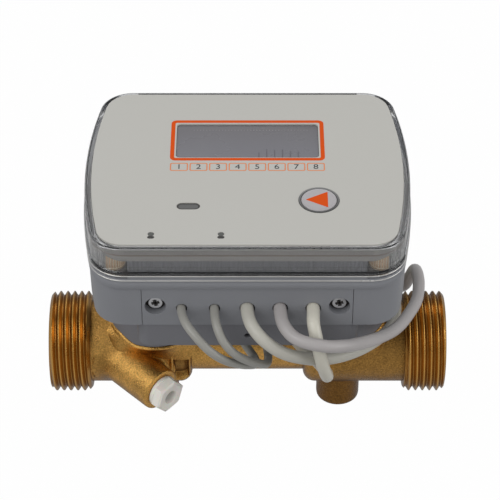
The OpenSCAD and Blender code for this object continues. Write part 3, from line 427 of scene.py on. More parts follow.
def stub_sheet(origin, axis, across, r, bore, tip, fillet, painted_light=1.0, columns=128):
    """Round stub on the pipe as a closed tube: bore, end face, wall, a fillet onto the pipe and back inside.

    Along each line of the wall, the distance t to the pipe solves
    |y, z of origin + r * ring + t * axis| = pipe radius.
    """
    bevel, deep, steps = 0.35, 0.8, 10
    axis = np.asarray(axis, float)
    ring = spokes(axis, across, columns)

    def point(radius, t):
        return origin + radius * ring + np.broadcast_to(t, columns)[:, None] * axis

    def meet(radius):
        start = (radius * ring + origin - [0, 0, AXIS])[:, 1:]
        a, b = axis[1:] @ axis[1:], 2 * start @ axis[1:]
        return (-b + np.sqrt(b * b - 4 * a * ((start ** 2).sum(1) - PIPE_R ** 2))) / (2 * a)

    corner, wide, wall = meet(r), r + fillet, tip - 3 * bevel
    rows = [(bore, tip - 3), (bore, tip - 0.2), (bore + 0.2, tip), (r - 3 * bevel, tip),
            (r - bevel, tip - 0.3 * bevel), (r - 0.3 * bevel, tip - bevel), (r, wall)]
    rows += [(r, wall * (1 - k) + (corner + fillet) * k) for k in np.linspace(0, 1, 7)[1:-1]]
    curve = bezier_rows(point(r, corner + fillet), point(r, corner), point(wide, meet(wide)), steps)
    under = [(wide - 0.1, meet(wide) - deep), (bore, meet(bore) - deep)]
    # Painted shade: the level given, darker in the crease of the fillet, and full shade inside the bore
    shade = painted_light * np.concatenate([np.ones(len(rows)), 1 - 0.45 * np.sin(np.linspace(0, np.pi, steps)), [0, 0]])
    rows, under = ([point(*row) for row in part] for part in (rows, under))
    return tube(np.concatenate([rows, curve, under]), shade[:, None])


def pipe_sheet(columns=240):
    """Pipe from thread to thread: outside radius as body_radius gives it, then back through the stepped bore.

    A groove is let into the front of one shoulder, with a raised lip on either side. Painted shade darkens the groove,
    the top side, where the calculator casts its shadow on the pipe, and the pipe towards the outlet.
    """
    bore, tube_bore, step, groove_x, half_groove = 9.4, 6.0, 20.4, -21.9, 2.7
    end = HALF_LENGTH - THREAD_LENGTH + 0.2
    bend = SHOULDER_X + SHOULDER_R * (1 - np.cos(np.linspace(0, np.pi / 2, 12)))
    x = [np.linspace(-end, end, 61), bend, -bend, [-18.39, 18.39], np.linspace(-26, -SHOULDER_X, 39)]
    x = np.unique(np.round(np.concatenate(x), 4))
    back = [(bore, end), (bore, step), (tube_bore, step), (tube_bore, -step), (bore, -step), (bore, -end)]
    profile = np.concatenate([np.stack([body_radius(x), x], -1), back])
    points = turned(profile, (0, 0, AXIS), (1, 0, 0), (0, 0, 1), columns)
    turn = np.degrees(circle(columns))
    across = profile[:, 1:] - groove_x
    groove = smooth((across + half_groove) / 0.9) * smooth((half_groove - across) / 0.9)
    lips = np.exp(-((np.abs(across) - 3.1) / 0.6) ** 2)
    groove[len(x):] = lips[len(x):] = 0
    start = smooth((turn - 20) / 10)
    depth = 2.7 * groove * (start * smooth((126 - turn) / 8)) - 0.45 * lips * (start * smooth((136 - turn) / 14))
    points[..., 1:] -= depth[..., None] * (points[..., 1:] - [0, AXIS]) / np.maximum(profile[:, :1], 1)[..., None]
    # Painted shadow of the calculator on the top side, painted shade towards the outlet and in the groove
    shadow_above = smooth((75 - np.minimum(turn, 360 - turn)) / 45)
    shade_to_outlet = smooth((profile[:, 1:] - 6) / 26)
    return tube(points, (0.95 - 0.2 * np.clip(depth, 0, None)) * (1 - 0.4 * shadow_above) * (1 - 0.5 * shade_to_outlet))


def thread_sheet(side, pitch, depth, columns=192, steps=150):
    """Threaded end: radius = crest - depth * wave(phase), phase = distance / pitch - turn, inside both chamfers."""
    start, end, crest, bore, inner_end = HALF_LENGTH - THREAD_LENGTH, HALF_LENGTH, 16.625, 10.0, 52.0
    d = np.linspace(start, end, steps)
    turn = np.arange(columns) / columns
    phase = (d[:, None] - start) / pitch - turn[None]
    wave = np.abs(2 * (phase - np.floor(phase)) - 1)
    wave = 0.5 * np.clip((wave - 0.1) / 0.8, 0, 1) + 0.5 * (0.5 - 0.5 * np.cos(np.pi * wave))
    chamfer = np.minimum(crest, np.minimum(crest - 1.35 + 1.2 * (d - start), crest - 1.15 + 1.1 * (end - d)))
    r = np.minimum(chamfer[:, None], crest - depth * wave)
    close = np.array([[14.6, end], [10.4, end], [bore, end - 0.4], [bore, inner_end], [9.4, inner_end],
                      [12.9, start - 0.05]])
    shade = np.ones((steps + 1 + len(close), columns))
    # Painted shade in the thread roots, darker the deeper a point lies below the crest
    shade[1:steps + 1] = 1 - 0.5 * np.clip((crest - r) / depth, 0, 1)
    r = np.concatenate([np.full((1, columns), 13.2), r, np.repeat(close[:, :1], columns, 1)])
    along = np.concatenate([[start], d, close[:, 1]])[:, None]
    a = turn * 2 * np.pi
    return tube(grid(side * along, -side * r * np.sin(a), r * np.cos(a) + AXIS), shade)


# Finishes


def feed(tree, node, values):
    """Sets sockets of a node; a value that is another node's socket is linked."""
    for name, value in values.items():
        if isinstance(value, bpy.types.NodeSocket):
            tree.links.new(value, node.inputs[name])
        else:
            node.inputs[name].default_value = value


def add(tree, kind, values=None, **settings):
    """New shader node with its settings, then the values and links of its sockets."""
    node = tree.nodes.new("ShaderNode" + kind)
    for name, value in settings.items():
        setattr(node, name, value)
    feed(tree, node, values or {})
    return node


def ramp(tree, value, span=(0, 1), out=(0, 1)):
    """Value carried from one span to another, held at both ends."""
    values = {"Value": value, "From Min": span[0], "From Max": span[1], "To Min": out[0], "To Max": out[1]}
    return add(tree, "MapRange", values).outputs["Result"]


def blend(tree, factor, a, b, how="MIX"):
    """Colour between a and b by the factor."""
    values = {"Factor": factor, "A": a, "B": b}
    return add(tree, "Mix", values, data_type="RGBA", blend_type=how).outputs["Result"]


def opaque(rgb):
    return (*np.clip(rgb, 0, 1), 1)


def new_material(name):
    """Material with its node tree and its Principled shader."""
    mat = bpy.data.materials.new(name)
    mat.use_nodes = True
    return mat, mat.node_tree, mat.node_tree.nodes["Principled BSDF"]


GRAIN, PATCH, NOISE_SPAN = 1500.0, 60.0, (0.3, 0.7)  # usual scales of the noise, and the span most of it lies in
EDGE_SPAN, RELIEF = (0.45, 1.0), 0.0004  # facing over which painted shade darkens an edge that turns away, and depth of the bump in metres


def grain_group():
    """Fine grain and broad patches on Object coordinates, shared by every finish."""
    tree = bpy.data.node_groups.get("Surface grain")
    if tree:
        return tree
    tree = bpy.data.node_groups.new("Surface grain", "ShaderNodeTree")
    noises = (("Grain scale", GRAIN, 3.0, "Height"), ("Patch scale", PATCH, 4.0, "Patch"))
    for scale, value, _, out in noises:
        tree.interface.new_socket(scale, in_out="INPUT", socket_type="NodeSocketFloat").default_value = value
        tree.interface.new_socket(out, in_out="OUTPUT", socket_type="NodeSocketFloat")
    start, end = tree.nodes.new("NodeGroupInput"), tree.nodes.new("NodeGroupOutput")
    place = add(tree, "TexCoord").outputs["Object"]
    for scale, _, detail, out in noises:
        values = {"Detail": detail, "Roughness": 0.6, "Vector": place, "Scale": start.outputs[scale]}
        feed(tree, end, {out: add(tree, "TexNoise", values).outputs["Fac"]})
    return tree


def finish(name, base, rough, grain=GRAIN, bump=0.08, patch=PATCH, vary=0.1, wear=0.08, dark=None, edge=None,
           speckle=0.0, **sockets):
    """Principled finish: grain as bump and speckle, patches that shift colour and gloss, painted shade by attribute
    and edge.
    """
    mat, tree, shader = new_material(name)
    texture = add(tree, "Group", {"Grain scale": grain, "Patch scale": patch}, node_tree=grain_group())
    height, spread = texture.outputs["Height"], ramp(tree, texture.outputs["Patch"], NOISE_SPAN)
    base = np.array(base[:3])
    tint = blend(tree, spread, opaque(base * (1 - vary)), opaque(base * (1 + vary)))
    # Painted shade: where the shade attribute is low the colour runs to the dark one
    if dark is not None:
        shade = add(tree, "Attribute", attribute_name="shade").outputs["Fac"]
        tint = blend(tree, shade, opaque(dark), tint)
    # Painted shade at edges that turn away from the view
    if edge is not None:
        facing = add(tree, "LayerWeight").outputs["Facing"]
        tint = blend(tree, ramp(tree, facing, EDGE_SPAN), tint, opaque(edge))
    if speckle:
        sand = ramp(tree, height, NOISE_SPAN, (1 - speckle, 1 + speckle))
        tint = blend(tree, 1.0, tint, sand, "MULTIPLY")
    gloss = ramp(tree, spread, out=(max(rough - wear, 0.02), min(rough + wear, 1.0)))
    relief = add(tree, "Bump", {"Strength": bump, "Distance": RELIEF, "Height": height}).outputs["Normal"]
    feed(tree, shader, {"Base Color": tint, "Roughness": gloss, "Normal": relief})
    feed(tree, shader, {socket.replace("_", " "): value for socket, value in sockets.items()})
    return mat


def fade(mat, span, factors):
    """Multiplies a finish's colour by the factors, none at the first Y of the span and all at the second."""
    tree = mat.node_tree
    shader = tree.nodes["Principled BSDF"]
    y = add(tree, "SeparateXYZ", {0: add(tree, "TexCoord").outputs["Object"]}).outputs["Y"]
    base = shader.inputs["Base Color"].links[0].from_socket
    feed(tree, shader, {"Base Color": blend(tree, ramp(tree, y, span), base, (*factors, 1), "MULTIPLY")})


def clear_finish(name, tint, rough, ior):
    """Clear moulding: full transmission with a faint tint and a trace of flow marks in its gloss."""
    mat, tree, shader = new_material(name)
    texture = add(tree, "Group", {"Patch scale": 45.0}, node_tree=grain_group())
    gloss = ramp(tree, texture.outputs["Patch"], NOISE_SPAN, (rough * 0.5, rough * 1.5))
    feed(tree, shader, {"Base Color": opaque(tint), "Transmission Weight": 1.0, "IOR": ior, "Roughness": gloss})
    return mat


def round_edges(width, *names):
    """Softens the edges of solids: loose triangles are joined, flat ones merged, sharp edges bevelled."""
    touching, flat_turn, sharp_turn = 0.01 * MM, math.radians(0.5), math.radians(40)
    for name in names:
        obj = NODE[name]
        weld = obj.modifiers.new("join", "WELD")
        weld.merge_threshold = touching
        flat = obj.modifiers.new("merge", "DECIMATE")
        flat.decimate_type, flat.angle_limit = "DISSOLVE", flat_turn
        bevel = obj.modifiers.new("round", "BEVEL")
        bevel.width, bevel.segments, bevel.angle_limit = width * MM, 2, sharp_turn
        bevel.limit_method, bevel.harden_normals = "ANGLE", True
        obj.modifiers.new("shade", "WEIGHTED_NORMAL")


def dress(material, *names):
    """Puts a finish on nodes of the solid model."""
    for name in names:
        NODE[name].data.materials.clear()
        NODE[name].data.materials.append(material)


# Leads


def curve_slopes(points):
    """Distances between the points of a route, and the slope at each, that of a parabola through its neighbours."""
    gap = np.linalg.norm(np.diff(points, axis=0), axis=1)
    return gap, np.gradient(points, np.concatenate([[0], np.cumsum(gap)]), axis=0)


def halfway(points):
    """Route with a point added in each cubic piece: the mean of its ends plus an eighth of the slopes' difference."""
    gap, slope = curve_slopes(points)
    middle = (points[:-1] + points[1:]) / 2 + gap[:, None] * (slope[:-1] - slope[1:]) / 8
    return np.insert(points, np.arange(1, len(points)), middle, 0)


def coil_turns(centre, radius, low, slots, pitch, diameter, start, way, extra):
    """Turns of a coil: the angle runs steadily, and over the last part of a turn the lead moves to its next place.

    A place is (column, row) in the section: its turn has radius + (column - middle) * pitch, and lies row * pitch up.
    """
    slots, shift, points_a_turn, gap = np.asarray(slots, float), 0.2, 30, 0.1
    turns = len(slots) - 1 + extra
    f = np.linspace(0, turns, int(turns * points_a_turn) + 1)
    k = np.minimum(f.astype(int), len(slots) - 2)
    w = smooth((f - k - (1 - shift)) / shift)[:, None]
    at = slots[k] * (1 - w) + slots[k + 1] * w
    middle = (slots[:, 0].max() + slots[:, 0].min()) / 2
    r = radius + (at[:, 0] - middle) * pitch
    a = math.radians(start) + way * 2 * np.pi * f
    z = low + diameter / 2 + gap + at[:, 1] * pitch
    return grid(centre[0] + r * np.cos(a), centre[1] + r * np.sin(a), z)


def lead(name, points, diameter, material, exit_x, stands_for, lay="loose"):
    """Free lead as one open curve with a round section."""
    route = np.concatenate([[[exit_x, y, HOLE_Z] for y in RUN_Y], points])
    if lay == "loose":
        route = halfway(route)
    gap, slope = curve_slopes(route)
    data = bpy.data.curves.new(name, "CURVE")
    data.dimensions = "3D"
    data.bevel_depth = diameter / 2
    data.bevel_resolution = 5
    data.resolution_u = 6
    data.use_fill_caps = True
    spline = data.splines.new("BEZIER")
    spline.bezier_points.add(len(route) - 1)
    spline.bezier_points.foreach_set("co", (route * MM).ravel())
    reach = slope * np.concatenate([gap[:1], gap])[:, None] / 3
    spline.bezier_points.foreach_set("handle_left", ((route - reach) * MM).ravel())
    reach = slope * np.concatenate([gap, gap[-1:]])[:, None] / 3
    spline.bezier_points.foreach_set("handle_right", ((route + reach) * MM).ravel())
    data.materials.append(material)
    obj = show(name, data)
    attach(obj, "meter")
    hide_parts(*stands_for)
    return obj


# Operators

NUMBER_SIZE = 3.4
INK = dict(grain=2000.0, bump=0.03)
RUBBER = dict(grain=1200.0, bump=0.1)
SOLIDS = (  # finish, colour, roughness, other values and the nodes that carry it
    ("screw steel", (190, 190, 192), 0.3, dict(grain=2600.0, bump=0.05, Metallic=1.0),
     "inlet_reflector outlet_reflector inlet_clamp_plate outlet_clamp_plate clamp_screws bracket_screws panel_screws "
     "cover_screws board_screws supply_probe return_probe"),
    ("black moulding", (52, 52, 55), 0.5, {},
     "inlet_transducer outlet_transducer switch_body infrared_diodes cell_cradle coil_ties"),
    ("seal rubber", (34, 34, 36), 0.7, RUBBER, "transducer_seals port_plug_seal cable_seal lcd_contact_strips"),
    ("gasket silicone", (118, 118, 120), 0.6, RUBBER, "cover_gasket"),
    ("white frame moulding", (215, 215, 212), 0.5, {}, "lcd_frame"),
    ("red plunger", (190, 60, 45), 0.45, {}, "switch_plunger"),
    ("board lacquer", (30, 92, 58), 0.3, dict(patch=150.0, vary=0.12), "main_board terminal_block"),
    ("cell sleeve", (60, 105, 140), 0.35, dict(patch=50.0), "lithium_cell"),
    ("ferrule sleeve", (205, 120, 50), 0.4, {}, "bus_wire_ends"),
)


class METER_OT_stage(bpy.types.Operator):
    """Camera at the view of the picture, pale floor and soft studio light"""
    bl_idname = "meter.stage"
    bl_label = "Studio"

    def execute(self, context):
        scene = context.scene
        scene.view_settings.view_transform = "Standard"
        data = bpy.data.cameras.new("camera")
        data.lens, data.sensor_width, data.clip_start = 150.9, 36.0, 0.01
        camera = show("camera", data)
        camera.matrix_world = Matrix((
            (1, 0, 0, 0.0008), (0, 0.6361, -0.7716, -0.5209), (0, 0.7716, 0.6361, 0.4916), (0, 0, 0, 1)))
        scene.camera = camera
        self.floor(scene)
        self.world(scene)
        for name, power, size, place, aim in (
            ("key_light", 4.0, (0.9, 0.6), (-0.6, -0.4, 0.9), (0, 0, 0.05)),
            ("fill_light", 3.0, (0.8, 0.6), (0.95, -0.2, 0.36), (0, 0, 0.05)),
            ("front_light", 3.2, (1.7, 0.7), (-0.35, -1.0, 0.42), (0, 0, 0.05)),
            ("back_light", 2.6, (1.0, 0.5), (0.1, 0.7, 0.9), (0, 0, 0.06)),
        ):
            lamp = bpy.data.lights.new(name, "AREA")
            lamp.shape, lamp.energy = "RECTANGLE", power
            lamp.size, lamp.size_y = size
            obj = show(name, lamp)
            obj.visible_glossy = name != "front_light"
            back = unit(np.array(place) - np.array(aim))
            right = unit(np.cross([0, 0, 1], back))
            up = np.cross(back, right)
            obj.matrix_world = Matrix([[right[i], up[i], back[i], place[i]] for i in range(3)] + [[0, 0, 0, 1]])
        return {"FINISHED"}

    def floor(self, scene):
        """Level square just under the part, which glows for the camera and partly in reflections."""
        half, level, seen, mirrored = 3.0, -0.0002, 0.99, 0.4
        mesh = bpy.data.meshes.new("floor")
        x, y = np.meshgrid([-half, half], [-half, half], indexing="ij")
        mesh.from_pydata(grid(x, y, level).reshape(-1, 3), [], [(0, 2, 3, 1)])
        mat, tree, base = new_material("studio floor")
        feed(tree, base, {"Base Color": (*scene.meter_colours.floor, 1), "Roughness": 0.9, "Specular IOR Level": 0.1})
        glow = add(tree, "Emission", {"Color": (1, 1, 1, 1)})
        path = add(tree, "LightPath").outputs
        share = add(tree, "Math", {0: path["Is Glossy Ray"], 1: mirrored}, operation="MULTIPLY").outputs[0]
        share = add(tree, "Math", {0: path["Is Camera Ray"], 1: seen, 2: share}, operation="MULTIPLY_ADD").outputs[0]
        mix = add(tree, "MixShader", {"Fac": share, 1: base.outputs[0], 2: glow.outputs[0]})
        feed(tree, tree.nodes["Material Output"], {"Surface": mix.outputs[0]})
        mesh.materials.append(mat)
        obj = show("floor", mesh)

    def world(self, scene):
        """Even pale light from all sides."""
        world = bpy.data.worlds.new("studio")
        world.use_nodes = True
        feed(world.node_tree, world.node_tree.nodes["Background"], {"Color": (0.9, 0.92, 0.95, 1), "Strength": 0.46})
        scene.world = world


class METER_OT_leads(bpy.types.Operator):
    """Two transducer leads, two sensor leads and the bus lead, with their coils"""
    bl_idname = "meter.leads"
    bl_label = "Leads"

    def execute(self, context):
        size, tint = context.scene.meter_sizes, context.scene.meter_colours
        skin = dict(rough=0.36, grain=900.0, bump=0.05, patch=35.0, vary=0.05)
        thin = finish("thin lead sheath", tint.thin_lead, **skin)
        for key, route, exit_x in (("inlet", INLET_LEAD, -20), ("outlet", OUTLET_LEAD, -10)):
            lead(f"{key}_transducer_cable", route, size.thin_lead, thin, exit_x,
                 [f"{key}_transducer_lead"])
        pitch, d = size.turn_pitch / MM, size.thick_lead / MM
        for key, kind, route, tail, exit_x, far_end, (centre, radius, low, start, way, extra), slots, pieces in (
            ("supply", "_sensor", SUPPLY_LEAD, SUPPLY_TAIL, 10, "fitting", ((26, 58), 23, 1.05, -12, 1, -0.7),
             [(2, 2), (1, 2), (0, 2), (0, 1), (0, 0), (1, 0), (1, 1), (2, 1), (2, 0), (2, 0)],
             ["supply_probe", "coil_ties"]),
            ("return", "_sensor", RETURN_LEAD, RETURN_TAIL, 0, "fitting", ((26, 58), 23, 14.8, -20, 1, 0.35),
             [(2, 0), (1, 0), (0, 0), (0, 1), (1, 1), (2, 1), (2, 2), (1, 2), (1, 3)], ["return_probe"]),
            ("bus", "", BUS_LEAD, BUS_TAIL, 20, "bare", ((-29, 54), 21, 1.05, -65, -1, 0.3),
             [(1, 0), (0, 0), (0, 1), (1, 1), (1, 2), (0, 2), (0, 3)], ["bus_wire_ends"]),
        ):
            turns = coil_turns(centre, radius, low, slots, pitch, d, start, way, extra)
            sheath = finish(f"{key} lead sheath", getattr(tint, f"{key}_lead"), **skin)
            lead(f"{key}{kind}_cable", np.concatenate([route, turns, tail]), size.thick_lead, sheath,
                 exit_x, [f"{key}{kind}_lead", f"{key}_lead_coil"], "coiled")
        return {"FINISHED"}


class METER_OT_flow_casting(bpy.types.Operator):
    """Brass casting with its necks, feet, sensor port and both threads"""
    bl_idname = "meter.flow_casting"
    bl_label = "Flow casting"

    def execute(self, context):
        size, tint = context.scene.meter_sizes, context.scene.meter_colours
        # Painted shade: cast brass runs to the edge brass by the shade attribute and at edges that turn away, turned
        # brass to the dark brass in its roots
        cast = finish("cast brass", tint.brass, 0.33, grain=2000.0, bump=0.6, patch=140.0, vary=0.18, wear=0.1,
                      dark=tint.brass_edge, edge=tint.brass_edge, speckle=0.38, Metallic=1.0)
        cut = finish("turned brass", tint.brass, 0.3, grain=2600.0, bump=0.12, patch=120.0, vary=0.12,
                     dark=tint.brass_dark, edge=tint.brass_edge, Metallic=1.0)
        neck, foot, port = (fillet / MM for fillet in (size.neck_fillet, size.foot_fillet, size.port_fillet))
        sheets = [pipe_sheet()]
        for side in SIDES:
            x = side * NECK_X
            # Painted shade levels: the outlet neck and ridge darker than the inlet ones, the feet under the pipe
            # darkest
            sheets += [neck_sheet(x, neck, 0.8 - 0.2 * side), ridge_sheet(x, 0.6 - 0.18 * side),
                       stub_sheet(np.array([x, 0, AXIS]), (0, 0, -1), (1, 0, 0), FOOT_R, FOOT_BORE, AXIS, foot, 0.2)]
        sheets.append(stub_sheet(PORT_ORIGIN, PORT_AXIS, PORT_ACROSS, PORT_R, PORT_BORE, PORT_REACH, port))
        piece("brass_casting", sheets, cast, sharp=50, stands_for=["flow_body"])
        threads = [thread_sheet(side, size.thread_pitch / MM, size.thread_depth / MM) for side in SIDES]
        piece("pipe_threads", threads, cut, sharp=60)
        return {"FINISHED"}


class METER_OT_port_plug(bpy.types.Operator):
    """White hexagon plug in the sensor port"""
    bl_idname = "meter.port_plug"
    bl_label = "Port plug"

    def execute(self, context):
        white = finish("plug nylon", context.scene.meter_colours.plug, 0.4, grain=900.0, bump=0.06, patch=120.0,
                       vary=0.03, dark=linear(150, 145, 138), Subsurface_Weight=0.15, Subsurface_Scale=0.002)
        rows = self.rows()
        # Painted shade in the recess of the hexagon: its last rows run towards the dark colour
        shade = np.ones(len(rows))
        shade[-3:] = 0.6, 0.25, 0.1
        piece("hexagon_plug", [sheet(rows, shade=shade[:, None])], white, sharp=30,
              stands_for=["port_plug"])
        return {"FINISHED"}

    def rows(self, columns=240):
        """Shank, collar, hexagon and its recess: the hexagon's radius is half its flats over the cosine to a flat."""
        half_flats, sixth, first = 5.15, np.pi / 3, math.radians(20)
        hexagon = half_flats / np.cos((circle(columns) + first + sixth / 2) % sixth - sixth / 2)
        rows = [(3.5, -8.9), (3.9, -8.4), (3.9, 0), (5.2, 0), (5.4, 0.2), (5.4, 1.2), (5.25, 1.45), (4.6, 1.5),
                (0.995 * hexagon, 1.5), (hexagon, 1.6), (hexagon, 4.2), (np.minimum(hexagon * 0.97, 5.6), 4.3),
                (np.minimum(hexagon * 0.88, 5.0), 4.7), (2.7, 4.7), (2.45, 4.6), (2.1, 3.9), (1.5, 3.2), (0.4, 3.0)]
        ring = spokes(PORT_AXIS, PORT_ACROSS, columns)
        return np.stack([PORT_ORIGIN + (PORT_REACH + d) * PORT_AXIS + np.broadcast_to(r, columns)[:, None] * ring
                         for r, d in rows])


class METER_OT_clear_cover(bpy.types.Operator):
    """Clear cover with its lip, rolled edge and ribbed corners"""
    bl_idname = "meter.clear_cover"
    bl_label = "Clear cover"

    def execute(self, context):
        clear = clear_finish("clear polycarbonate", (0.975, 0.98, 0.985), 0.04, 1.58)
        low, bar = COVER_Z, PLATE_Z - 2.25
        outer = soften([(1.2, low), (0, low), (0, low + 1.5), (0.4, low + 1.8), (0.5, COVER_TOP), (2.45, COVER_TOP)],
                       [0, 0.3, 0.3, 0.2, 1.6, 0], 7)
        inner = [(COVER_WALL, COVER_TOP - 0.4), (COVER_WALL, PLATE_Z - 2.6), (COVER_WALL, low)]
        profile = np.concatenate([outer, inner])
        shell = tube(case_loft(profile, self.ribs(len(profile))))
        piece("clear_cover_shell", [shell], clear, sharp=40, stands_for=["clear_cover"])
        posts = [(sx * (CORNER_X + 3.2), sy * (CASE_Y + 3.7)) for sx in SIDES for sy in SIDES]
        boss = soften([(0.4, low + 0.05), (3.7, low + 0.05), (3.7, bar), (0.4, bar)], [0, 0.3, 0.3, 0], 4)
        bosses = [sheet(turned(boss, (x, y, 0), (0, 0, 1), (1, 0, 0))) for x, y in posts]
        piece("cover_posts", bosses, clear)
        # Painted light: the pale colour is a painted highlight on the ridges of the knurl, the dark one painted shade
        # in its grooves, and the emission a painted glow for light let in through the clear cover
        glowing_insert = finish("insert brass", linear(255, 244, 222), 0.38, grain=2000.0, bump=0.1, dark=linear(205, 162, 116),
                     Emission_Color=(*linear(190, 158, 118), 1), Emission_Strength=0.14)
        piece("knurled_inserts", [self.knurl(x, y) for x, y in posts], glowing_insert,
              stands_for=["cover_inserts"])
        tint = context.scene.meter_colours
        even = dict(patch=30.0, vary=0.04)
        light = finish("inner band", tint.band, 0.5, dark=linear(112, 92, 78), **even)
        piece("cover_inner_band", [self.band()], light)
        # Painted light and shade of the stripes at the clear corners
        corner_stripe_paint = finish("corner ribs", linear(214, 212, 208), 0.4, dark=linear(92, 92, 95), **even)
        piece("corner_ribs", self.corner_ribs(), corner_stripe_paint)
        # Painted highlight: semi-metallic beads along the lip stand for the bright edges of the clear lip
        lip_highlight_paint = finish("lip sheen", linear(206, 204, 200), 0.22, vary=0.08, Metallic=0.55)
        turn, bead = circle(16), 0.24
        beads = [case_loft(np.stack([0.12 + bead * np.cos(turn), z + bead * np.sin(turn)], -1))
                 for z in (low + 0.25, low - 1.45)]
        piece("lip_beads", [tube(points) for points in beads], lip_highlight_paint, sharp=80)
        grey = finish("collar grey", tint.bracket_grey, 0.5, **even)
        piece("collar_bands", self.collar(), grey)
        return {"FINISHED"}

    def band(self):
        """Light band behind the clear wall: upright from the plate to an edge that is higher round the corners."""
        _, radius, _, corner = case_outline()
        rise = np.sin(np.pi * corner) ** 2 * (radius == CASE_CORNER)
        face, groove, back, top, low = 2.45, 2.55, 2.9, PLATE_Z - 0.02, COVER_Z + 4.9
        points = case_loft([(face, top), (face, PLATE_Z - 2.1), (groove, PLATE_Z - 2.3), (groove, PLATE_Z - 2.7),
                            (face, PLATE_Z - 2.9), (face, low), (back, low), (back, top)])
        points[5:7, :, 2] += rise
        # Painted shade in the groove: its two rows run towards the dark colour
        return tube(points, np.array([1, 1, 0.3, 0.3, 1, 1, 1, 1])[:, None])

    def corner_ribs(self, ribs=9):
        """Upright ribbed strips behind the clear corners, on their sides, 0.12 * cos(turns) deep, with painted light
        on the crests and painted shade in the troughs.
        """
        share = np.linspace(0, 1, ribs * 16 + 1)
        wave = np.cos(2 * np.pi * ribs * share)
        turn = math.radians(8) + share * math.radians(46)

        def arc(sx, sy, r):
            return sx * (CORNER_X + r * np.cos(turn)), sy * (CASE_Y + r * np.sin(turn))

        return [strip(arc(sx, sy, 8.42 + 0.12 * wave), arc(sx, sy, 8.1), COVER_Z + 0.02, COVER_Z + 6.2,
                      (0.5 + 0.5 * wave)[:, None]) for sx in SIDES for sy in SIDES]

    def collar(self):
        """Bands behind the clear wall between its corners: ribs of 0.06 * cos(turns) in front and back, plain bows."""
        face, back, low, high = 2.55, 2.95, COVER_Z + 0.02, COVER_Z + 4.88
        x, flat = np.linspace(-35.5, 35.5, 569), CASE_Y + CASE_CORNER
        rib = 0.06 * np.cos(2 * np.pi * x / 1.25)
        turn = np.linspace(-LEAN, LEAN, 33) * 0.93

        def bow(side, r):
            return side * (BOW_X + r * np.cos(turn)), r * np.sin(turn)

        fronts = [strip((x, side * (flat - face - rib)), (x, side * (flat - back)), low, high) for side in SIDES]
        return fronts + [strip(bow(side, CASE_BOW - face), bow(side, CASE_BOW - back), low, high) for side in SIDES]

    def ribs(self, rows):
        """Fine upright ribs inside the corners, on their sides: 0.08 * sin(21 turns a corner)."""
        _, radius, angle, corner = case_outline()
        side = np.clip((np.abs(np.cos(angle)) - 0.72) / 0.1, 0, 1) * (radius == CASE_CORNER)
        ripple = np.zeros((rows, len(angle)))
        ripple[-2:] = 0.08 * np.sin(corner * 21 * 2 * np.pi) * side
        return ripple

    def knurl(self, x, y, ridges=24, columns=288):
        """Insert with straight ridges: radius = 2.45 - 0.32 * wave(ridges * turn), plain at both ends, bored."""
        bore, face, r = 1.65, 2.25, 2.45
        rows = np.array([(bore, 0.1), (face, 0.1), (r, 0.3), (r, 0.5), (r, 0.7), (r, 4.9), (r, 5.1), (face, 5.5),
                         (bore, 5.5)])
        turn = circle(columns)
        wave = np.abs(2 * ((ridges * turn / (2 * np.pi)) % 1) - 1)
        cut = np.zeros((len(rows), 1))
        cut[4:6] = 0.32
        r = rows[:, :1] - cut * wave
        # Painted shade in the grooves of the knurl, painted highlight on its ridges
        return tube(grid(x + r * np.cos(turn), y + r * np.sin(turn), COVER_Z + rows[:, 1:]), 1 - (cut > 0) * wave)


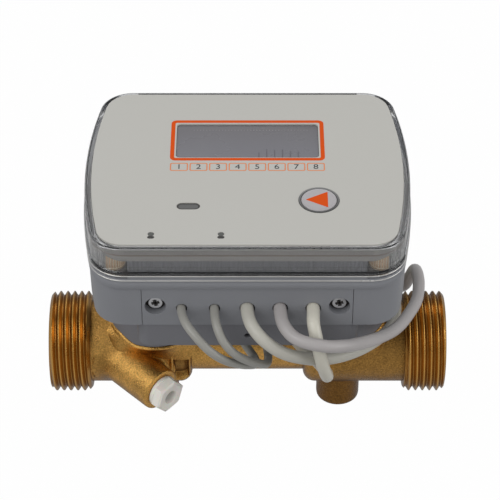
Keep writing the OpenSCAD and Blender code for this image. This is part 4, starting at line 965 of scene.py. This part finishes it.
class METER_OT_face(bpy.types.Operator):
    """Face plate, display, printed frame, label boxes and the arrow on the button"""
    bl_idname = "meter.face"
    bl_label = "Face"

    def execute(self, context):
        size, tint = context.scene.meter_sizes, context.scene.meter_colours
        paint = dict(grain=2400.0, bump=0.04, patch=25.0, vary=0.015)
        dress(finish("painted face", tint.face, 0.5, **paint), "face_plate")
        dress(finish("button cap", tint.cap, 0.45, **paint), "button")
        dress(self.display_finish(tint.display), "display_window", "lcd_panel")
        dress(finish("smoked window", linear(70, 70, 68), 0.3, bump=0.02), "optical_window")
        ring = finish("button ring grey", linear(116, 116, 114), 0.4, bump=0.02)
        # Painted shade on the button ring, darker towards the front
        fade(ring, (-0.012, -0.0215), (0.3, 0.3, 0.3))
        dress(ring, "button_ring")
        dress(finish("lamp lens", linear(64, 64, 60), 0.3, bump=0.02), "indicator_lamps")
        matt = dict(INK, vary=0.04, Specular_IOR_Level=0.1)
        orange = finish("orange print", tint.print_orange, 0.6, **matt)
        pale = finish("pale orange print", tint.print_pale, 0.6, **matt)
        black = finish("black print", tint.print_black, 0.5, **INK)
        thick, line, thin = (value / MM for value in (size.print_thickness, size.frame_line, size.box_line))
        ring = printed_ring(48.6, 21.3, line, (1.7, 0.6), (0, 13.65), PLATE_TOP, thick)
        piece("display_frame_print", [ring], orange)
        boxes = [(x, -0.3) for x in (np.arange(8) - 3.5) * 6.1]
        rings = [printed_ring(5.6, 4.0, thin, (0.6, 0.35), at, PLATE_TOP, thick) for at in boxes]
        piece("label_box_print", rings, pale)
        self.face_marks(thick)
        self.display_marks(thick / 2)
        self.numbers(boxes, black, thick)
        self.arrow(orange, thick)
        return {"FINISHED"}

    def display_finish(self, base):
        """Grey glass with a painted reflection that makes it a little lighter and bluer towards the front, under a
        thin glossy coat.
        """
        mat = finish("display glass", base, 0.28, grain=1800.0, bump=0.01, patch=30.0, vary=0.05, Coat_Weight=0.15)
        # Painted reflection, lighter and bluer towards the front
        fade(mat, (0.021, 0.006), (1.2, 1.26, 1.34))
        return mat

    def face_marks(self, thick):
        """Dark line round the optical window, and in front of each lamp a dark oval on the face, all flat."""
        dark = finish("dark print", linear(44, 41, 38), 0.5, **INK)
        low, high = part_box("optical_window")
        middle = ((low.x + high.x) / 2 / MM, (low.y + high.y) / 2 / MM)
        wide, deep, gap = (high.x - low.x) / MM, (high.y - low.y) / MM, 0.1
        rim = printed_ring(wide - gap, deep - gap, 0.45, (deep / 2 - 0.06, deep / 2 - 0.51), middle, high.z / MM,
                           thick / 2)
        piece("window_line_print", [rim], dark)
        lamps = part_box("indicator_lamps")
        lamp_r, ahead = 0.9, 1.55
        y = (lamps[0].y + lamps[1].y) / 2 / MM - ahead
        ovals = [plate(rounded_rectangle(2.1, 1.25, 0.6, (x, y)), PLATE_TOP, PLATE_TOP + thick)
                 for x in (lamps[0].x / MM + lamp_r, lamps[1].x / MM - lamp_r)]
        piece("lamp_oval_print", ovals, dark)

    def display_marks(self, thick):
        """Row of small pale dots and a few dark bars on the display: flat plates, one for each place."""
        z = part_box("display_window")[1].z / MM
        look = dict(rough=0.4, bump=0.02, vary=0.08)
        pale = finish("display dot", linear(140, 136, 136), **look)
        dark = finish("display bar", linear(78, 74, 82), **look)
        dots = [(0.34, 0.26, x, 19.7) for x in np.linspace(-17, 19, 37)]
        bars = [(0.32, tall, x, 4.9 + tall / 2)
                for x, tall in zip(np.linspace(3.6, 16, 6), (3.0, 4.8, 4.4, 4.6, 3.6, 3.4))]
        for name, marks, mat in (("display_dots", dots, pale), ("display_bars", bars, dark)):
            plates = [plate(rounded_rectangle(wide, deep, 0.1, (x, y), 2), z - 0.02, z + thick)
                      for wide, deep, x, y in marks]
            piece(name, plates, mat)

    def numbers(self, places, material, thick):
        """One plain number in each label box, as flat outlines with a little thickness."""
        bm = bmesh.new()
        for count, (x, y) in enumerate(places):
            data = bpy.data.curves.new("number", "FONT")
            data.body, data.size = str(count + 1), NUMBER_SIZE * MM
            data.align_x, data.align_y = "CENTER", "CENTER"
            data.extrude = thick * MM / 2
            text = bpy.data.objects.new("number", data)
            mesh = bpy.data.meshes.new_from_object(text)
            mesh.transform(Matrix.Translation((x * MM, y * MM, (PLATE_TOP + thick / 2) * MM)))
            bm.from_mesh(mesh)
            bpy.data.objects.remove(text)
            bpy.data.curves.remove(data)
            bpy.data.meshes.remove(mesh)
        mesh = bpy.data.meshes.new("label_number_print")
        bm.to_mesh(mesh)
        bm.free()
        place_mesh("label_number_print", mesh, material, "meter")

    def arrow(self, material, thick):
        """Triangle on the button that points to the inlet: three softened corners, as a flat plate."""
        flat = soften([(17.8, -17.1), (24.6, -21.0), (24.6, -13.2)], 0.4, 5, True)
        low = BUTTON_TOP - 0.11
        piece("button_arrow_print", [plate(flat, low, low + thick)], material, "button")


class METER_OT_solid_finishes(bpy.types.Operator):
    """Finishes of the moulded, steel, rubber and electronic pieces"""
    bl_idname = "meter.solid_finishes"
    bl_label = "Finishes of the solids"

    def execute(self, context):
        tint = context.scene.meter_colours
        moulded = dict(grain=1800.0, bump=0.1, patch=30.0, vary=0.03)
        case = finish("moulded case grey", tint.case_grey, 0.5, **moulded)
        dress(case, "base_case", "cable_panel")
        round_edges(0.3, "base_case", "cable_panel", "mounting_bracket")
        base_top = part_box("cover_gasket")[0].z / MM
        lip = [(0.6, 0.05), (0.24, 0.1), (0.1, 0.35), (0.1, 0.8), (0.4, 1.05), (0.4, 1.3), (0.02, 1.9), (0.02, 3.2),
               (0.15, 3.7), (0.6, 3.75)]
        piece("base_lip", [tube(case_loft([(inset, base_top - drop) for inset, drop in lip]))], case)
        dress(finish("moulded bracket grey", tint.bracket_grey, 0.55, **moulded), "mounting_bracket", "neck_sleeves")
        self.screw_crosses()
        for name, rgb, rough, look, nodes in SOLIDS:
            dress(finish(name, linear(*rgb), rough, **look), *nodes.split())
        return {"FINISHED"}

    def screw_crosses(self):
        """Painted shadow at each panel screw: a dark cross of two plates at right angles, and a dark flat ring in the
        recess round the head.
        """
        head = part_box("panel_screws")
        y, z = head[0].y / MM, (head[0].z + head[1].z) / 2 / MM
        x = (head[1].x - head[0].x) / 2 / MM - 2.1
        half, wide, turn = 1.25, 0.34, 0.5
        u, v = np.array([(-half, -wide), (half, -wide), (half, wide), (-half, wide)]).T
        a, b = math.cos(turn), math.sin(turn)
        plates = [sheet([grid(side * x + c * u - s * v, y + depth, z + s * u + c * v) for depth in (-0.03, 0.3)])
                  for side in SIDES for c, s in ((a, b), (-b, a))]
        # Painted shadow: flat dark ring in the recess round each head
        cup_shadow = [(2.2, -0.02), (2.2, 0.06), (3.2, 0.06), (3.2, -0.02)]
        plates += [tube(turned(cup_shadow, (side * x, PANEL_FRONT + 2.8, z), (0, -1, 0), (1, 0, 0))) for side in SIDES]
        piece("screw_crosses", plates, finish("screw cross", linear(40, 36, 33), 0.6, bump=0.05))


class METER_PT_panel(bpy.types.Panel):
    """Lists the steps of the dressing and the values they use"""
    bl_idname = "METER_PT_panel"
    bl_label = "Heat meter"
    bl_space_type = "VIEW_3D"
    bl_region_type = "UI"
    bl_category = "Meter"

    def draw(self, context):
        for step in STEPS:
            self.layout.operator(step.bl_idname)
        for group_of in (context.scene.meter_sizes, context.scene.meter_colours):
            box = self.layout.box()
            for name in group_of.bl_rna.properties.keys():
                if name not in ("rna_type", "name"):
                    box.prop(group_of, name)


STEPS = (METER_OT_stage, METER_OT_leads, METER_OT_flow_casting, METER_OT_port_plug, METER_OT_clear_cover,
         METER_OT_face, METER_OT_solid_finishes)
CLASSES = (MeterSizes, MeterColours, *STEPS, METER_PT_panel)


def register():
    for cls in CLASSES:
        bpy.utils.register_class(cls)
    bpy.types.Scene.meter_sizes = PointerProperty(type=MeterSizes)
    bpy.types.Scene.meter_colours = PointerProperty(type=MeterColours)


def unregister():
    del bpy.types.Scene.meter_colours
    del bpy.types.Scene.meter_sizes
    for cls in reversed(CLASSES):
        bpy.utils.unregister_class(cls)


def main():
    register()
    bpy.ops.meter.stage()
    bpy.ops.meter.leads()
    bpy.ops.meter.flow_casting()
    bpy.ops.meter.port_plug()
    bpy.ops.meter.clear_cover()
    bpy.ops.meter.face()
    bpy.ops.meter.solid_finishes()


if __name__ == "__main__":
    main()
